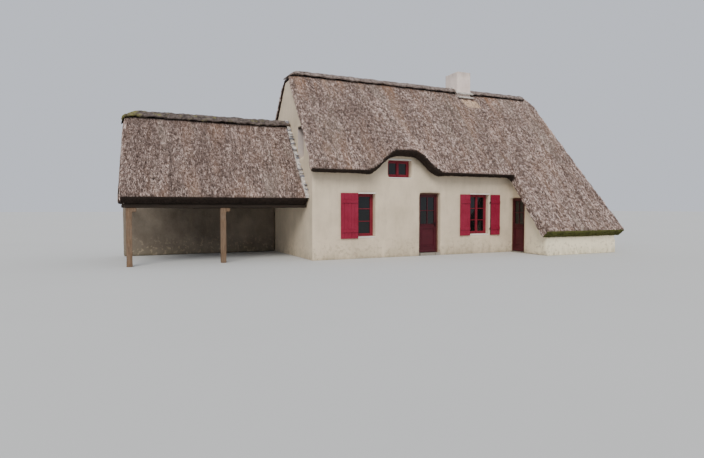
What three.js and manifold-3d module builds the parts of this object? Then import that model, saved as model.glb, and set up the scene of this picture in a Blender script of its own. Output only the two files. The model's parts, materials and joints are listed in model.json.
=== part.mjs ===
// Thatched stone cottage: a long rendered house, a low store under the swept-down
// roof at the right of its front, and an open cart shed against its left gable.
// Millimetres, +Z up. X runs along the ridge and the front faces -Y. Inside this file
// X starts at the left gable's outer face and Y at the front wall's outer face. The
// finished group is moved so that its origin is the middle of the footprint.
import * as THREE from "three";
import { mergeVertices } from "three/addons/utils/BufferGeometryUtils.js";
import Module from "manifold-3d";

const wasm = await Module();
wasm.setup();

// The joint left between pieces that touch
const JOINT = 0.3;

// Cutting blocks and blanks reach past what they cut by this much, and up to the sky
const PAST = 100;
const SKY = 8000;
const YARD = 4600;
const ROUND_SIDES = 16;

// House walls. The right gable is battered: its outer face leans in as it rises.
const WALL = 500;
const HOUSE_LENGTH = 11200;
const GABLE_BATTER = 0.081;
const GABLE_INSIDE = 10300;
const RIDGE_Y = 2470;
const HOUSE_DEPTH = 2 * RIDGE_Y;

// Floors
const FLOOR_TOP = 90;
const THRESHOLD_IN = 10;
const STORE_FLOOR_TOP = 40;
const LOFT_FLOOR_TOP = 2470;
const LOFT_FLOOR = 120;

// Roofs: every slope has one pitch and one thickness of thatch
const PITCH = THREE.MathUtils.degToRad(51.6);
const SLOPE = Math.tan(PITCH);
const THATCH = 320;
const THATCH_PLUMB = THATCH / Math.cos(PITCH);
const THATCH_IN = THATCH * Math.sin(PITCH);
const THATCH_DOWN = THATCH * Math.cos(PITCH);
const VERGE_THATCH = 128;
const VERGE_PLUMB = VERGE_THATCH / Math.cos(PITCH);
const VERGE_LEFT = -150;
const VERGE_RIGHT = HOUSE_LENGTH + 160;
const EAVE_OUT = 460;
const EAVE_Z = 2800;
const EAVE_RUN = RIDGE_Y + EAVE_OUT;
const APEX_Z = EAVE_Z + SLOPE * EAVE_RUN;
const LOW_EAVE_OUT = 2030;
const LOW_EAVE_RUN = RIDGE_Y + LOW_EAVE_OUT;
const SWEEP_X = 7600;
const HIP_X = 10350;
const RIDGE_FLAT = 195;
const RIDGE_COVER = 120;
const RIDGE_SINK = 200;

// The eyebrow: the eave lifted in a smooth hump over the loft window
const EYEBROW_X = 3100;
const EYEBROW_LIFT = 693;
const EYEBROW_HALF = 1450;
const EYEBROW_BLEND = 1160;
const EYEBROW_RUN = 2000;
const EYEBROW_NARROWING = 0.3;
const EYEBROW_FADE = 1.6;
const EYEBROW_MARGIN = 50;
const EYEBROW_COLUMNS = 20;
const EYEBROW_ROWS = 10;
const EYEBROW_CROWDING = 1.5;

// Ridge caps: the top falls towards the rounded left end
const MAIN_CAP = { top: 6415, sink: 235 };
const SHED_CAP = { top: 4645, sink: 285 };
const CAP_HALF = 329;
const CAP_PROUD = 80;
const CAP_BEDDED = 460;
const CAP_INSET = 5;
const CAP_STRIPS = 8;
const END_ROUND = 550;
const END_STEPS = 4;

// Chimney
const CHIMNEY = { x0: 6913, x1: 7546, y0: 2117, y1: 2945, top: 7020 };
const FLUE = { across: 300, along: 400, depth: 1500 };

// Store under the swept-down roof
const STORE_X = 7820;
const STORE_WALL = 450;
const STORE_OUT = 1780;
const LOW_WALL = 400;

// Openings of the house: x along the wall, z above the ground
const LEFT_WINDOW = { x: 1870, width: 620, sill: 700, height: 1400 };
const RIGHT_WINDOW = { x: 6390, width: 860, sill: 690, height: 1430 };
const LOFT_WINDOW = { x: EYEBROW_X, width: 880, sill: 2640, height: 580 };
const REAR_WINDOWS = [LEFT_WINDOW.x, RIGHT_WINDOW.x];
const ATTIC = { y: 1092, width: 478, sill: 3460, height: 790, sill_fall: 240 };
const FRONT_DOOR = {
  x: 4294, width: 832, height: 2047, base: FLOOR_TOP, recess: 180, jamb: 65, rail: 990, stile: 80,
};
const STORE_DOOR = {
  width: 640, height: 1945, base: STORE_FLOOR_TOP, recess: 70, jamb: 45, rail: 1005, stile: 65,
};

// Joinery
const WINDOW_RECESS = 200;
const WINDOW_DEPTH = 60;
const WINDOW_FRAME = 55;
const WINDOW_STILE = 50;
const WINDOW_BAR = 26;
const PANE = 5;
const LEAF = 40;
const LEAF_GAP = 6;
const STOP_LIP = 20;
const LIP_OVERLAP = 12;
const HINGE_PIN = 6;
const HINGE_PLAY = 0.5;
const HINGE_EYE = 9;
const HINGE_OUT = 14;
const HINGE_TALL = 70;
const HINGE_ASIDE = 3;
const HINGE_ARM = 20;
const HINGE_SHELF = 16;
const HINGE_STRAP = 8;
const HINGE_NECK = 12;
const HINGE_SHARES = [0.14, 0.82];
const WELD = 2;
const LEAF_LIFT = 8;
const GLASS_REBATE = 14;
const GLASS_IN = 16;

// Shutters
const SHUTTER = { bottom: 655, top: 2105, board: 30, batten: 25, batten_tall: 95 };
const SHUTTER_BATTENS = [897, 1835];
const SHUTTER_BATTEN_IN = 10;
const SHUTTER_AXIS_Y = -25;
const SHUTTER_AXIS_OUT = 12;
const SHUTTER_BACK_Y = -15;
const SHUTTER_MEET = 5;
const SHUTTER_SHORT = 20;
const STRAP_HALF = 20;
const STRAP_DEPTH = 20;
const STRAP_EYE = 14;
const PINTLE_PIN = 8;
const PINTLE_ARM = 18;
const PINTLE_IN_WALL = 60;
const PINTLE_OVER = 3.5;

// Cart shed
const SHED_LEFT = -5430;
const SHED_RIDGE_SINK = 240;
const SHED_EAVE_Y = 280;
const SHED_EAVE_Z = 1940;
const SHED_RUN = RIDGE_Y - SHED_EAVE_Y;
const SHED_APEX_Z = SHED_EAVE_Z + SLOPE * SHED_RUN;
const SHED_POST = 160;
const SHED_POST_TOP = 1524;
const SHED_POST_Y = 620;
const SHED_POSTS = [-5180, -2600];
const SHED_BOLSTER = { tall: 111, reach: 120, shaved: 10 };
const SHED_PLATE_OUT = 40;
const SHED_PLATE_TOP = 1750;
const SHED_WALL = 400;
const SHED_WALL_LEFT = -5260;
const SHED_WALL_Y = 4400;
const TRUSS = { thick: 130, tie: 150, rafter: 150, post: 130 };
const FLASHING = { wide: 120, tall: 100, over_cap: 20, bedded: 350 };

// Verges lean in towards their ridges: the place at one height, and the lean
const LEFT_VERGE = { x: -130, z: 2980, lean: 0.028 };
const RIGHT_VERGE = { x: 11330, z: 930, lean: 0.106 };
const SHED_VERGE = { x: -5410, z: SHED_EAVE_Z, lean: 0.075 };

// Finishes
const paint = (color, roughness) => new THREE.MeshStandardMaterial({ color, roughness, metalness: 0 });
const PLASTER = paint(0xd9d0bf, 0.95);
const MORTAR = paint(0xc9c3b6, 0.95);
const REED = paint(0x8a776b, 1.0);
const RIDGE_TURF = paint(0x7d736a, 1.0);
const OAK = paint(0x7a6555, 0.85);
const MAROON = paint(0x54131f, 0.6);
const CRIMSON = paint(0x8c1a35, 0.6);
const GLASS = paint(0x15181b, 0.1);
const SLAB = paint(0x9b948a, 0.9);

const cottage = new THREE.Group();

function toSolid(geometry) {
  const bare = geometry.index ? geometry.clone() : mergeVertices(geometry.clone());
  bare.deleteAttribute("normal");
  bare.deleteAttribute("uv");
  const merged = mergeVertices(bare, 0.002);
  return new wasm.Manifold(new wasm.Mesh({
    numProp: 3,
    vertProperties: new Float32Array(merged.attributes.position.array),
    triVerts: new Uint32Array(merged.index.array),
  }));
}

function addPiece(name, solid, material, parent = cottage) {
  const mesh = solid.getMesh();
  const geometry = new THREE.BufferGeometry();
  geometry.setAttribute("position", new THREE.BufferAttribute(mesh.vertProperties, mesh.numProp));
  geometry.setIndex(new THREE.BufferAttribute(mesh.triVerts, 1));
  geometry.computeVertexNormals();
  const piece = new THREE.Mesh(geometry, material);
  piece.name = name;
  parent.add(piece);
  return piece;
}

function block(x0, x1, y0, y1, z0, z1) {
  const box = new THREE.BoxGeometry(x1 - x0, y1 - y0, z1 - z0);
  box.translate((x0 + x1) / 2, (y0 + y1) / 2, (z0 + z1) / 2);
  return toSolid(box);
}

function uprightPin(x, y, z0, z1, radius) {
  const pin = new THREE.CylinderGeometry(radius, radius, z1 - z0, ROUND_SIDES);
  pin.rotateX(Math.PI / 2);
  pin.translate(x, y, (z0 + z1) / 2);
  return toSolid(pin);
}

function outline(points) {
  return new THREE.Shape(points.map(([across, up]) => new THREE.Vector2(across, up)));
}

// A section drawn in Y and Z, run along X
function runAlongX(points, x0, x1) {
  const body = new THREE.ExtrudeGeometry(outline(points), { depth: x1 - x0, bevelEnabled: false });
  body.applyMatrix4(new THREE.Matrix4().set(0, 0, 1, x0, 1, 0, 0, 0, 0, 1, 0, 0, 0, 0, 0, 1));
  return toSolid(body);
}

// A section drawn in X and Z, run along Y
function runAlongY(points, y0, y1) {
  const body = new THREE.ExtrudeGeometry(outline(points), { depth: y1 - y0, bevelEnabled: false });
  body.applyMatrix4(new THREE.Matrix4().set(1, 0, 0, 0, 0, 0, -1, y1, 0, 1, 0, 0, 0, 0, 0, 1));
  return toSolid(body);
}

// One slope of thatch from the ridge plane to its eave, cut square to the slope there
function slopeSection(side, apexZ, run) {
  const half = JOINT / 2;
  return [
    [RIDGE_Y + side * half, apexZ - SLOPE * half],
    [RIDGE_Y + side * run, apexZ - SLOPE * run],
    [RIDGE_Y + side * (run - THATCH_IN), apexZ - SLOPE * run - THATCH_DOWN],
    [RIDGE_Y + side * half, apexZ - SLOPE * half - THATCH_PLUMB],
  ];
}

function smooth(value) {
  const t = THREE.MathUtils.clamp(value, 0, 1);
  return t * t * (3 - 2 * t);
}

function eyebrowLift(x, run) {
  const climb = THREE.MathUtils.clamp((EAVE_RUN - run) / EYEBROW_RUN, 0, 1);
  const narrowing = 1 - EYEBROW_NARROWING * climb;
  const aside = Math.abs(x - EYEBROW_X);
  const hump = smooth((EYEBROW_HALF * narrowing - aside) / (EYEBROW_BLEND * narrowing));
  return EYEBROW_LIFT * hump * (1 - climb) ** EYEBROW_FADE;
}

function eyebrowTop(x, run) {
  return APEX_Z - SLOPE * run + eyebrowLift(x, run);
}

function eyebrowColumns() {
  const reach = EYEBROW_HALF + EYEBROW_MARGIN;
  const columns = [VERGE_LEFT, (VERGE_LEFT + EYEBROW_X - reach) / 2];
  for (let i = 0; i <= EYEBROW_COLUMNS; i += 1) {
    columns.push(EYEBROW_X - reach + (2 * reach * i) / EYEBROW_COLUMNS);
  }
  columns.push((EYEBROW_X + reach + SWEEP_X) / 2, SWEEP_X);
  return columns;
}

// A sheet over the front slope left of the sweep, between two depths in the thatch.
// Depth 0 is the outer face and depth 1 the inner one; a null depth reaches the sky.
// Its rows crowd towards the eave, where the hump bends most.
function eyebrowSheet(outerDepth, innerDepth) {
  const columns = eyebrowColumns();
  const half = JOINT / 2;
  const sheet = new THREE.BoxGeometry(1, 1, 1, columns.length - 1, EYEBROW_ROWS, 1);
  const corners = sheet.attributes.position;
  for (let i = 0; i < corners.count; i += 1) {
    const column = Math.round((corners.getX(i) + 0.5) * (columns.length - 1));
    const upSlope = (corners.getY(i) + 0.5) ** EYEBROW_CROWDING;
    const depth = corners.getZ(i) > 0 ? outerDepth : innerDepth;
    const into = depth === null ? innerDepth : depth;
    const run = half + (1 - upSlope) * (EAVE_RUN - THATCH_IN * into - half);
    const z = eyebrowTop(columns[column], run + THATCH_IN * into) - THATCH_DOWN * into;
    corners.setXYZ(i, columns[column], RIDGE_Y - run, depth === null ? SKY : z);
  }
  return toSolid(sheet);
}

// Everything outside a verge, or above a battered face: side -1 is a left end
function outside({ x, z, lean }, side) {
  const far = x + side * YARD;
  return runAlongY([
    [x + side * lean * z, 0],
    [x - side * lean * (SKY - z), SKY],
    [far, SKY],
    [far, 0],
  ], RIDGE_Y - YARD, RIDGE_Y + YARD);
}

// The long profile of a ridge of thatch: sunk at its left end, then level
function ridgeLine(apexZ, leftEnd, sink) {
  const level = apexZ - RIDGE_FLAT;
  const fall = sink / END_ROUND;
  return [[leftEnd - PAST, level - sink - fall * PAST], [leftEnd + END_ROUND, level]];
}

function aboveMainRidge(apexZ) {
  const right = VERGE_RIGHT + PAST;
  return runAlongY([
    ...ridgeLine(apexZ, VERGE_LEFT, RIDGE_SINK),
    [HIP_X + RIDGE_FLAT / SLOPE, apexZ - RIDGE_FLAT],
    [right, apexZ - SLOPE * (right - HIP_X)],
    [right, SKY],
    [VERGE_LEFT - PAST, SKY],
  ], RIDGE_Y - YARD, RIDGE_Y + YARD);
}

function aboveShedRidge() {
  return runAlongY([
    ...ridgeLine(SHED_APEX_Z, SHED_LEFT, SHED_RIDGE_SINK),
    [PAST, SHED_APEX_Z - RIDGE_FLAT],
    [PAST, SKY],
    [SHED_LEFT - PAST, SKY],
  ], RIDGE_Y - YARD, RIDGE_Y + YARD);
}

// The half hip: a band of thatch facing right, between the two slopes
function hipBand(side) {
  const fall = SLOPE * (VERGE_RIGHT - HIP_X);
  const over = 2 * PAST;
  const band = runAlongY([
    [HIP_X, APEX_Z + over],
    [VERGE_RIGHT, APEX_Z - fall + over],
    [VERGE_RIGHT, APEX_Z - fall - THATCH_PLUMB],
    [HIP_X, APEX_Z - THATCH_PLUMB],
  ], RIDGE_Y - EAVE_RUN, RIDGE_Y + EAVE_RUN);
  const middle = APEX_Z - THATCH_PLUMB / 2;
  const near = RIDGE_Y + (side * JOINT) / 2;
  const low = middle - SLOPE * RIDGE_Y;
  const under = runAlongX([
    [near, middle - (SLOPE * JOINT) / 2],
    [RIDGE_Y + side * RIDGE_Y, low],
    [near, low],
  ], HIP_X - PAST, VERGE_RIGHT + PAST);
  return band.intersect(under);
}

function chimneyHole(z0, z1) {
  const { x0, x1, y0, y1 } = CHIMNEY;
  return block(x0 - JOINT, x1 + JOINT, y0 - JOINT, y1 + JOINT, z0, z1);
}

// The gables run up into the thatch, which laps over them in a thinner layer
function overGable(side, x0, x1, run) {
  const top = APEX_Z - VERGE_PLUMB;
  const near = RIDGE_Y - side * PAST;
  return runAlongX([
    [near, top],
    [RIDGE_Y, top],
    [RIDGE_Y + side * run, top - SLOPE * run],
    [RIDGE_Y + side * run, 0],
    [near, 0],
  ], x0, x1);
}

function belowThinHip() {
  const top = APEX_Z - VERGE_PLUMB;
  const left = GABLE_INSIDE - PAST;
  const right = VERGE_RIGHT + 2 * PAST;
  return runAlongY([
    [left, top],
    [HIP_X, top],
    [right, top - SLOPE * (right - HIP_X)],
    [right, 0],
    [left, 0],
  ], RIDGE_Y - YARD, RIDGE_Y + YARD);
}

function trimmed(slope, side, rightRun) {
  const leftWall = overGable(side, VERGE_LEFT - PAST, WALL + JOINT, RIDGE_Y)
    .subtract(aboveMainRidge(APEX_Z - RIDGE_COVER));
  const rightWall = overGable(side, GABLE_INSIDE - JOINT, VERGE_RIGHT + PAST, rightRun);
  return slope.subtract(aboveMainRidge(APEX_Z))
    .subtract(chimneyHole(LOFT_FLOOR_TOP, SKY))
    .subtract(leftWall)
    .subtract(rightWall.intersect(belowThinHip()))
    .subtract(outside(LEFT_VERGE, -1))
    .subtract(outside(RIGHT_VERGE, 1));
}

function frontThatch() {
  const plain = eyebrowSheet(0, 1);
  const swept = runAlongX(slopeSection(-1, APEX_Z, LOW_EAVE_RUN), SWEEP_X, VERGE_RIGHT);
  return trimmed(plain.add(swept).add(hipBand(-1)), -1, RIDGE_Y + STORE_OUT);
}

function rearThatch() {
  const slope = runAlongX(slopeSection(1, APEX_Z, EAVE_RUN), VERGE_LEFT, VERGE_RIGHT);
  return trimmed(slope.add(hipBand(1)), 1, RIDGE_Y);
}

function shedThatch(side) {
  return runAlongX(slopeSection(side, SHED_APEX_Z, SHED_RUN), SHED_LEFT, -JOINT)
    .subtract(aboveShedRidge())
    .subtract(outside(SHED_VERGE, -1));
}

// A ridge cap: a saddle of turf and mortar, thick over the ridge, ending in lips that
// stand proud of the thatch. Its underside is bedded in the thatch.
function ridgeCap({ top, sink }, apexZ, leftEnd, rightEnd) {
  const columns = [];
  for (let i = 0; i <= END_STEPS; i += 1) {
    columns.push(leftEnd + (END_ROUND * i) / END_STEPS);
  }
  columns.push(rightEnd);
  const turn = (apexZ + CAP_PROUD - top) * (2 / SLOPE);
  const cap = new THREE.BoxGeometry(1, 1, 1, columns.length - 1, CAP_STRIPS, 1);
  const corners = cap.attributes.position;
  for (let i = 0; i < corners.count; i += 1) {
    const x = columns[Math.round((corners.getX(i) + 0.5) * (columns.length - 1))];
    const y = 2 * corners.getY(i) * CAP_HALF;
    const run = Math.abs(y);
    const nearEnd = THREE.MathUtils.clamp(1 - (x - leftEnd) / END_ROUND, 0, 1);
    const saddle = run < turn ? top - (SLOPE / (2 * turn)) * run * run : apexZ + CAP_PROUD - SLOPE * run;
    const outer = Math.min(saddle, top - sink * nearEnd * nearEnd);
    const inner = apexZ - CAP_BEDDED - SLOPE * run;
    corners.setXYZ(i, x, RIDGE_Y + y, corners.getZ(i) > 0 ? outer : inner);
  }
  return toSolid(cap);
}

const thatch = {
  front: frontThatch(),
  rear: rearThatch(),
  shedFront: shedThatch(-1),
  shedRear: shedThatch(1),
};

function lifted(solid, dz) {
  const mesh = solid.getMesh();
  const moved = new Float32Array(mesh.vertProperties);
  for (let i = 2; i < moved.length; i += 3) {
    moved[i] += dz;
  }
  return new wasm.Manifold(new wasm.Mesh({ numProp: 3, vertProperties: moved, triVerts: mesh.triVerts }));
}

// The region above a sheet that lies inside both slopes: it takes away what a wall
// blank has above its roof
function aboveSlopes(apexZ, depth, x0, x1) {
  const middle = apexZ - depth;
  const reach = RIDGE_Y + 3000;
  const low = middle - SLOPE * reach;
  return runAlongX([
    [RIDGE_Y - reach, low],
    [RIDGE_Y, middle],
    [RIDGE_Y + reach, low],
    [RIDGE_Y + reach, SKY],
    [RIDGE_Y - reach, SKY],
  ], x0, x1);
}

function aboveHip(depth) {
  const inner = APEX_Z - depth;
  const right = VERGE_RIGHT + 100;
  return runAlongY([
    [HIP_X, inner],
    [right, inner - SLOPE * (right - HIP_X)],
    [right, SKY],
    [HIP_X, SKY],
  ], RIDGE_Y - YARD, RIDGE_Y + YARD);
}

// The slot that the joint along a ridge leaves open between the two slopes
function ridgeSlot(x0, x1, z0, z1) {
  return block(x0, x1, RIDGE_Y - 20, RIDGE_Y + 20, z0, z1);
}

function largest(solid) {
  return solid.decompose().sort((a, b) => b.volume() - a.volume())[0];
}

function underRoof(wall, cover = THATCH_PLUMB) {
  const inner = APEX_Z - cover - JOINT;
  const cut = wall.subtract(lifted(thatch.front, -JOINT))
    .subtract(lifted(thatch.rear, -JOINT))
    .subtract(aboveSlopes(APEX_Z, cover / 2, -PAST, HOUSE_LENGTH + PAST))
    .subtract(ridgeSlot(-PAST, HOUSE_LENGTH + PAST, inner, SKY))
    .subtract(aboveMainRidge(APEX_Z - RIDGE_COVER - JOINT))
    .subtract(aboveHip(cover + JOINT));
  return largest(cut);
}

function underEyebrow(wall) {
  const cut = wall.subtract(lifted(thatch.front, -JOINT)).subtract(eyebrowSheet(null, 0.5));
  return largest(cut);
}

function wallHole({ x, width, sill, height }, y0) {
  return block(x - width / 2, x + width / 2, y0 - PAST, y0 + WALL + PAST, sill, sill + height);
}

// Iron pintle: an arm let into the wall and the upright pin that a strap's eye drops on
function pintle(axisX, z) {
  const shelf = z - STRAP_HALF - JOINT;
  const half = PINTLE_PIN;
  const low = shelf - PINTLE_ARM;
  const arm = block(axisX - half, axisX + half, SHUTTER_AXIS_Y - half, PINTLE_IN_WALL, low, shelf);
  const pinTop = z + STRAP_HALF + PINTLE_OVER;
  return arm.add(uprightPin(axisX, SHUTTER_AXIS_Y, shelf - PINTLE_ARM / 2, pinTop, PINTLE_PIN));
}

function shutterAxes() {
  const beside = ({ x, width }, side) => x + side * (width / 2 + SHUTTER_AXIS_OUT);
  const half = RIGHT_WINDOW.width / 2 - SHUTTER_MEET;
  return {
    left_window_shutter: { x: beside(LEFT_WINDOW, -1), side: -1, width: LEFT_WINDOW.width - SHUTTER_SHORT },
    right_window_left_shutter: { x: beside(RIGHT_WINDOW, -1), side: -1, width: half },
    right_window_right_shutter: { x: beside(RIGHT_WINDOW, 1), side: 1, width: half },
  };
}

function withPintles(wall, names) {
  const axes = shutterAxes();
  let whole = wall;
  for (const name of names) {
    for (const z of SHUTTER_BATTENS) {
      whole = whole.add(pintle(axes[name].x, z));
    }
  }
  return whole;
}

function addFrontWalls() {
  const doorLeft = FRONT_DOOR.x - FRONT_DOOR.width / 2;
  const doorRight = FRONT_DOOR.x + FRONT_DOOR.width / 2;
  const doorTop = FRONT_DOOR.base + FRONT_DOOR.height;
  const left = block(0, doorLeft, 0, WALL, 0, SKY)
    .subtract(wallHole(LEFT_WINDOW, 0))
    .subtract(wallHole(LOFT_WINDOW, 0));
  const over = block(doorLeft + JOINT, doorRight - JOINT, 0, WALL, doorTop, SKY);
  const right = block(doorRight, STORE_X + STORE_WALL, 0, WALL, 0, SKY)
    .subtract(wallHole(RIGHT_WINDOW, 0));
  const shutterNames = ["right_window_left_shutter", "right_window_right_shutter"];
  addPiece("front_wall_left", withPintles(underEyebrow(left), ["left_window_shutter"]), PLASTER);
  addPiece("front_wall_over_door", underEyebrow(over), PLASTER);
  addPiece("front_wall_right", withPintles(underRoof(right), shutterNames), PLASTER);
}

function addGableWalls() {
  const inner = WALL + JOINT;
  const { y, width, sill, height, sill_fall } = ATTIC;
  const attic = runAlongY([
    [0, sill - sill_fall],
    [WINDOW_RECESS, sill],
    [WALL + PAST, sill],
    [WALL + PAST, sill + height],
    [-PAST, sill + height],
    [-PAST, sill - sill_fall],
  ], y - width / 2, y + width / 2);
  const left = block(0, WALL, inner, HOUSE_DEPTH, 0, SKY);
  const right = block(GABLE_INSIDE, HOUSE_LENGTH, -STORE_OUT, HOUSE_DEPTH, 0, SKY)
    .subtract(outside({ x: HOUSE_LENGTH, z: 0, lean: GABLE_BATTER }, 1));
  addPiece("left_gable_wall", underRoof(left.subtract(attic), VERGE_PLUMB), PLASTER);
  addPiece("right_gable_wall", underRoof(right, VERGE_PLUMB), PLASTER);
}

function addRearWall() {
  const y0 = HOUSE_DEPTH - WALL;
  let wall = block(WALL + 2 * JOINT, GABLE_INSIDE - 2 * JOINT, y0, HOUSE_DEPTH, 0, SKY);
  for (const x of REAR_WINDOWS) {
    wall = wall.subtract(wallHole({ ...RIGHT_WINDOW, x }, y0));
  }
  addPiece("rear_wall", underRoof(wall), PLASTER);
}

function addStoreWalls() {
  const doorTop = STORE_DOOR.base + STORE_DOOR.height;
  const inside = STORE_X + STORE_WALL;
  const lowInside = -STORE_OUT + LOW_WALL;
  const beside = block(STORE_X, inside, lowInside + JOINT, -STORE_DOOR.width, 0, SKY);
  const over = block(STORE_X, inside, -STORE_DOOR.width + JOINT, -JOINT, doorTop, SKY);
  const low = block(STORE_X, GABLE_INSIDE - 2 * JOINT, -STORE_OUT, lowInside, 0, SKY);
  addPiece("store_wall_beside_door", underRoof(beside), PLASTER);
  addPiece("store_wall_over_door", underRoof(over), PLASTER);
  addPiece("store_low_wall", underRoof(low), PLASTER);
}

function addFloors() {
  const x0 = WALL + JOINT;
  const x1 = GABLE_INSIDE - JOINT;
  const y1 = HOUSE_DEPTH - WALL - JOINT;
  const doorHalf = FRONT_DOOR.width / 2 - JOINT;
  const storeX = STORE_X + STORE_WALL + JOINT;
  const storeY = -STORE_OUT + LOW_WALL + JOINT;
  const ground = block(x0, x1, WALL + JOINT, y1, 0, FLOOR_TOP)
    .add(block(FRONT_DOOR.x - doorHalf, FRONT_DOOR.x + doorHalf, THRESHOLD_IN, WALL + WELD, 0, FLOOR_TOP))
    .add(block(storeX, x1, storeY, WALL + WELD, 0, STORE_FLOOR_TOP))
    .add(block(STORE_X + THRESHOLD_IN, storeX + WELD, -STORE_DOOR.width + JOINT, -JOINT, 0, STORE_FLOOR_TOP))
    .subtract(chimneyHole(-PAST, SKY));
  const loft = block(x0, x1, WALL + JOINT, y1, LOFT_FLOOR_TOP - LOFT_FLOOR, LOFT_FLOOR_TOP)
    .subtract(chimneyHole(0, SKY));
  addPiece("ground_floor", ground, SLAB);
  addPiece("loft_floor", loft, OAK);
}

function addChimney() {
  const { x0, x1, y0, y1, top } = CHIMNEY;
  const middleX = (x0 + x1) / 2;
  const middleY = (y0 + y1) / 2;
  const flue = block(
    middleX - FLUE.across / 2,
    middleX + FLUE.across / 2,
    middleY - FLUE.along / 2,
    middleY + FLUE.along / 2,
    top - FLUE.depth,
    SKY,
  );
  addPiece("chimney_stack", block(x0, x1, y0, y1, 0, top).subtract(flue), PLASTER);
}

function addMainRoof() {
  addPiece("front_thatch", thatch.front, REED);
  addPiece("rear_thatch", thatch.rear, REED);
  const parts = ridgeCap(MAIN_CAP, APEX_Z, VERGE_LEFT, HIP_X)
    .subtract(lifted(thatch.front, JOINT))
    .subtract(lifted(thatch.rear, JOINT))
    .subtract(chimneyHole(LOFT_FLOOR_TOP, SKY))
    .subtract(capSlot(ridgeLine(APEX_Z, VERGE_LEFT, RIDGE_SINK), HIP_X))
    .subtract(outside(insetVerge(LEFT_VERGE), -1))
    .decompose();
  const [left, right] = parts.sort((a, b) => b.volume() - a.volume());
  addPiece("ridge_cap_left", left, RIDGE_TURF);
  addPiece("ridge_cap_right", right, RIDGE_TURF);
}

// A cap ends a little short of the verge below it
function insetVerge({ x, z, lean }) {
  return { x: x + CAP_INSET, z, lean };
}

// Under a cap the joint between the slopes stays open up to the thatch's level top
function capSlot(line, rightEnd) {
  const right = rightEnd + PAST;
  const top = line.map(([x, z]) => [x, z + JOINT]);
  return runAlongY([...top, [right, top[1][1]], [right, 0], [top[0][0], 0]], RIDGE_Y - 1, RIDGE_Y + 1);
}

function shedCap() {
  const cap = ridgeCap(SHED_CAP, SHED_APEX_Z, SHED_LEFT, -JOINT)
    .subtract(lifted(thatch.shedFront, JOINT))
    .subtract(lifted(thatch.shedRear, JOINT))
    .subtract(capSlot(ridgeLine(SHED_APEX_Z, SHED_LEFT, SHED_RIDGE_SINK), 0))
    .subtract(outside(insetVerge(SHED_VERGE), -1));
  return largest(cap);
}

// Slate and mortar flashing over the shed's roof, along the foot of the house gable
function addShedRoof() {
  addPiece("shed_front_thatch", thatch.shedFront, REED);
  addPiece("shed_rear_thatch", thatch.shedRear, REED);
  const cap = shedCap();
  addPiece("shed_ridge_cap", cap, RIDGE_TURF);
  const { wide, tall, over_cap, bedded } = FLASHING;
  const top = SHED_CAP.top + over_cap;
  const run = SHED_RUN;
  const levelHalf = (SHED_APEX_Z + tall - top) / SLOPE;
  const low = SHED_EAVE_Z + tall;
  const band = runAlongX([
    [RIDGE_Y - levelHalf, top],
    [RIDGE_Y - run, low],
    [RIDGE_Y - run, SHED_EAVE_Z - tall / 2],
    [RIDGE_Y, SHED_APEX_Z - bedded],
    [RIDGE_Y + run, SHED_EAVE_Z - tall / 2],
    [RIDGE_Y + run, low],
    [RIDGE_Y + levelHalf, top],
  ], -wide, -JOINT);
  const flashing = band.subtract(lifted(thatch.shedFront, JOINT))
    .subtract(lifted(thatch.shedRear, JOINT))
    .subtract(lifted(cap, JOINT))
    .subtract(cap)
    .subtract(capSlot(ridgeLine(SHED_APEX_Z, SHED_LEFT, SHED_RIDGE_SINK), 0));
  addPiece("shed_roof_flashing", largest(flashing), MORTAR);
}

function addShedTimbers() {
  const half = SHED_POST / 2;
  const y0 = SHED_POST_Y - half;
  const y1 = SHED_POST_Y + half;
  const bolsterTop = SHED_POST_TOP + SHED_BOLSTER.tall;
  const rearY = 2 * RIDGE_Y - SHED_POST_Y;
  SHED_POSTS.forEach((x, i) => {
    const { reach, shaved } = SHED_BOLSTER;
    const right = x + half + reach;
    const post = block(x - half, x + half, y0, y1, 0, SHED_POST_TOP);
    const bolster = block(x - half, right, y0 + shaved, y1 - shaved, SHED_POST_TOP - WELD, bolsterTop);
    addPiece(["shed_post_left", "shed_post_middle"][i], post.add(bolster), OAK);
  });
  const left = SHED_POSTS[0] - half - SHED_PLATE_OUT;
  const plateZ = [bolsterTop + JOINT, SHED_PLATE_TOP - JOINT];
  addPiece("shed_front_plate", block(left, -JOINT, y0, y1, ...plateZ), OAK);
  addPiece("shed_rear_plate", block(left, -JOINT, rearY - half, rearY + half, ...plateZ), OAK);
  const wall = block(SHED_WALL_LEFT, -JOINT, SHED_WALL_Y - SHED_WALL, SHED_WALL_Y, 0, bolsterTop);
  addPiece("shed_rear_wall", wall, PLASTER);
}

// A truss: tie beam, two rafters and a king post, pegged together as one frame
function addShedTrusses() {
  const peak = SHED_APEX_Z - THATCH_PLUMB - 2 * JOINT;
  const foot = (peak - SHED_PLATE_TOP) / SLOPE;
  const tieTop = SHED_PLATE_TOP + TRUSS.tie;
  const rafterPlumb = TRUSS.rafter / Math.cos(PITCH);
  const postHalf = TRUSS.post / 2;
  const innerFoot = (peak - rafterPlumb - tieTop) / SLOPE;
  const triangle = [[RIDGE_Y - foot, SHED_PLATE_TOP], [RIDGE_Y + foot, SHED_PLATE_TOP], [RIDGE_Y, peak]];
  SHED_POSTS.forEach((x, i) => {
    const x0 = x - TRUSS.thick / 2;
    let frame = runAlongX(triangle, x0, x0 + TRUSS.thick);
    for (const side of [-1, 1]) {
      frame = frame.subtract(runAlongX([
        [RIDGE_Y + side * innerFoot, tieTop],
        [RIDGE_Y + side * postHalf, tieTop],
        [RIDGE_Y + side * postHalf, peak - rafterPlumb - SLOPE * postHalf],
      ], x0 - PAST, x0 + TRUSS.thick + PAST));
    }
    addPiece(["shed_truss_left", "shed_truss_middle"][i], frame, OAK);
  });
}

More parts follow.
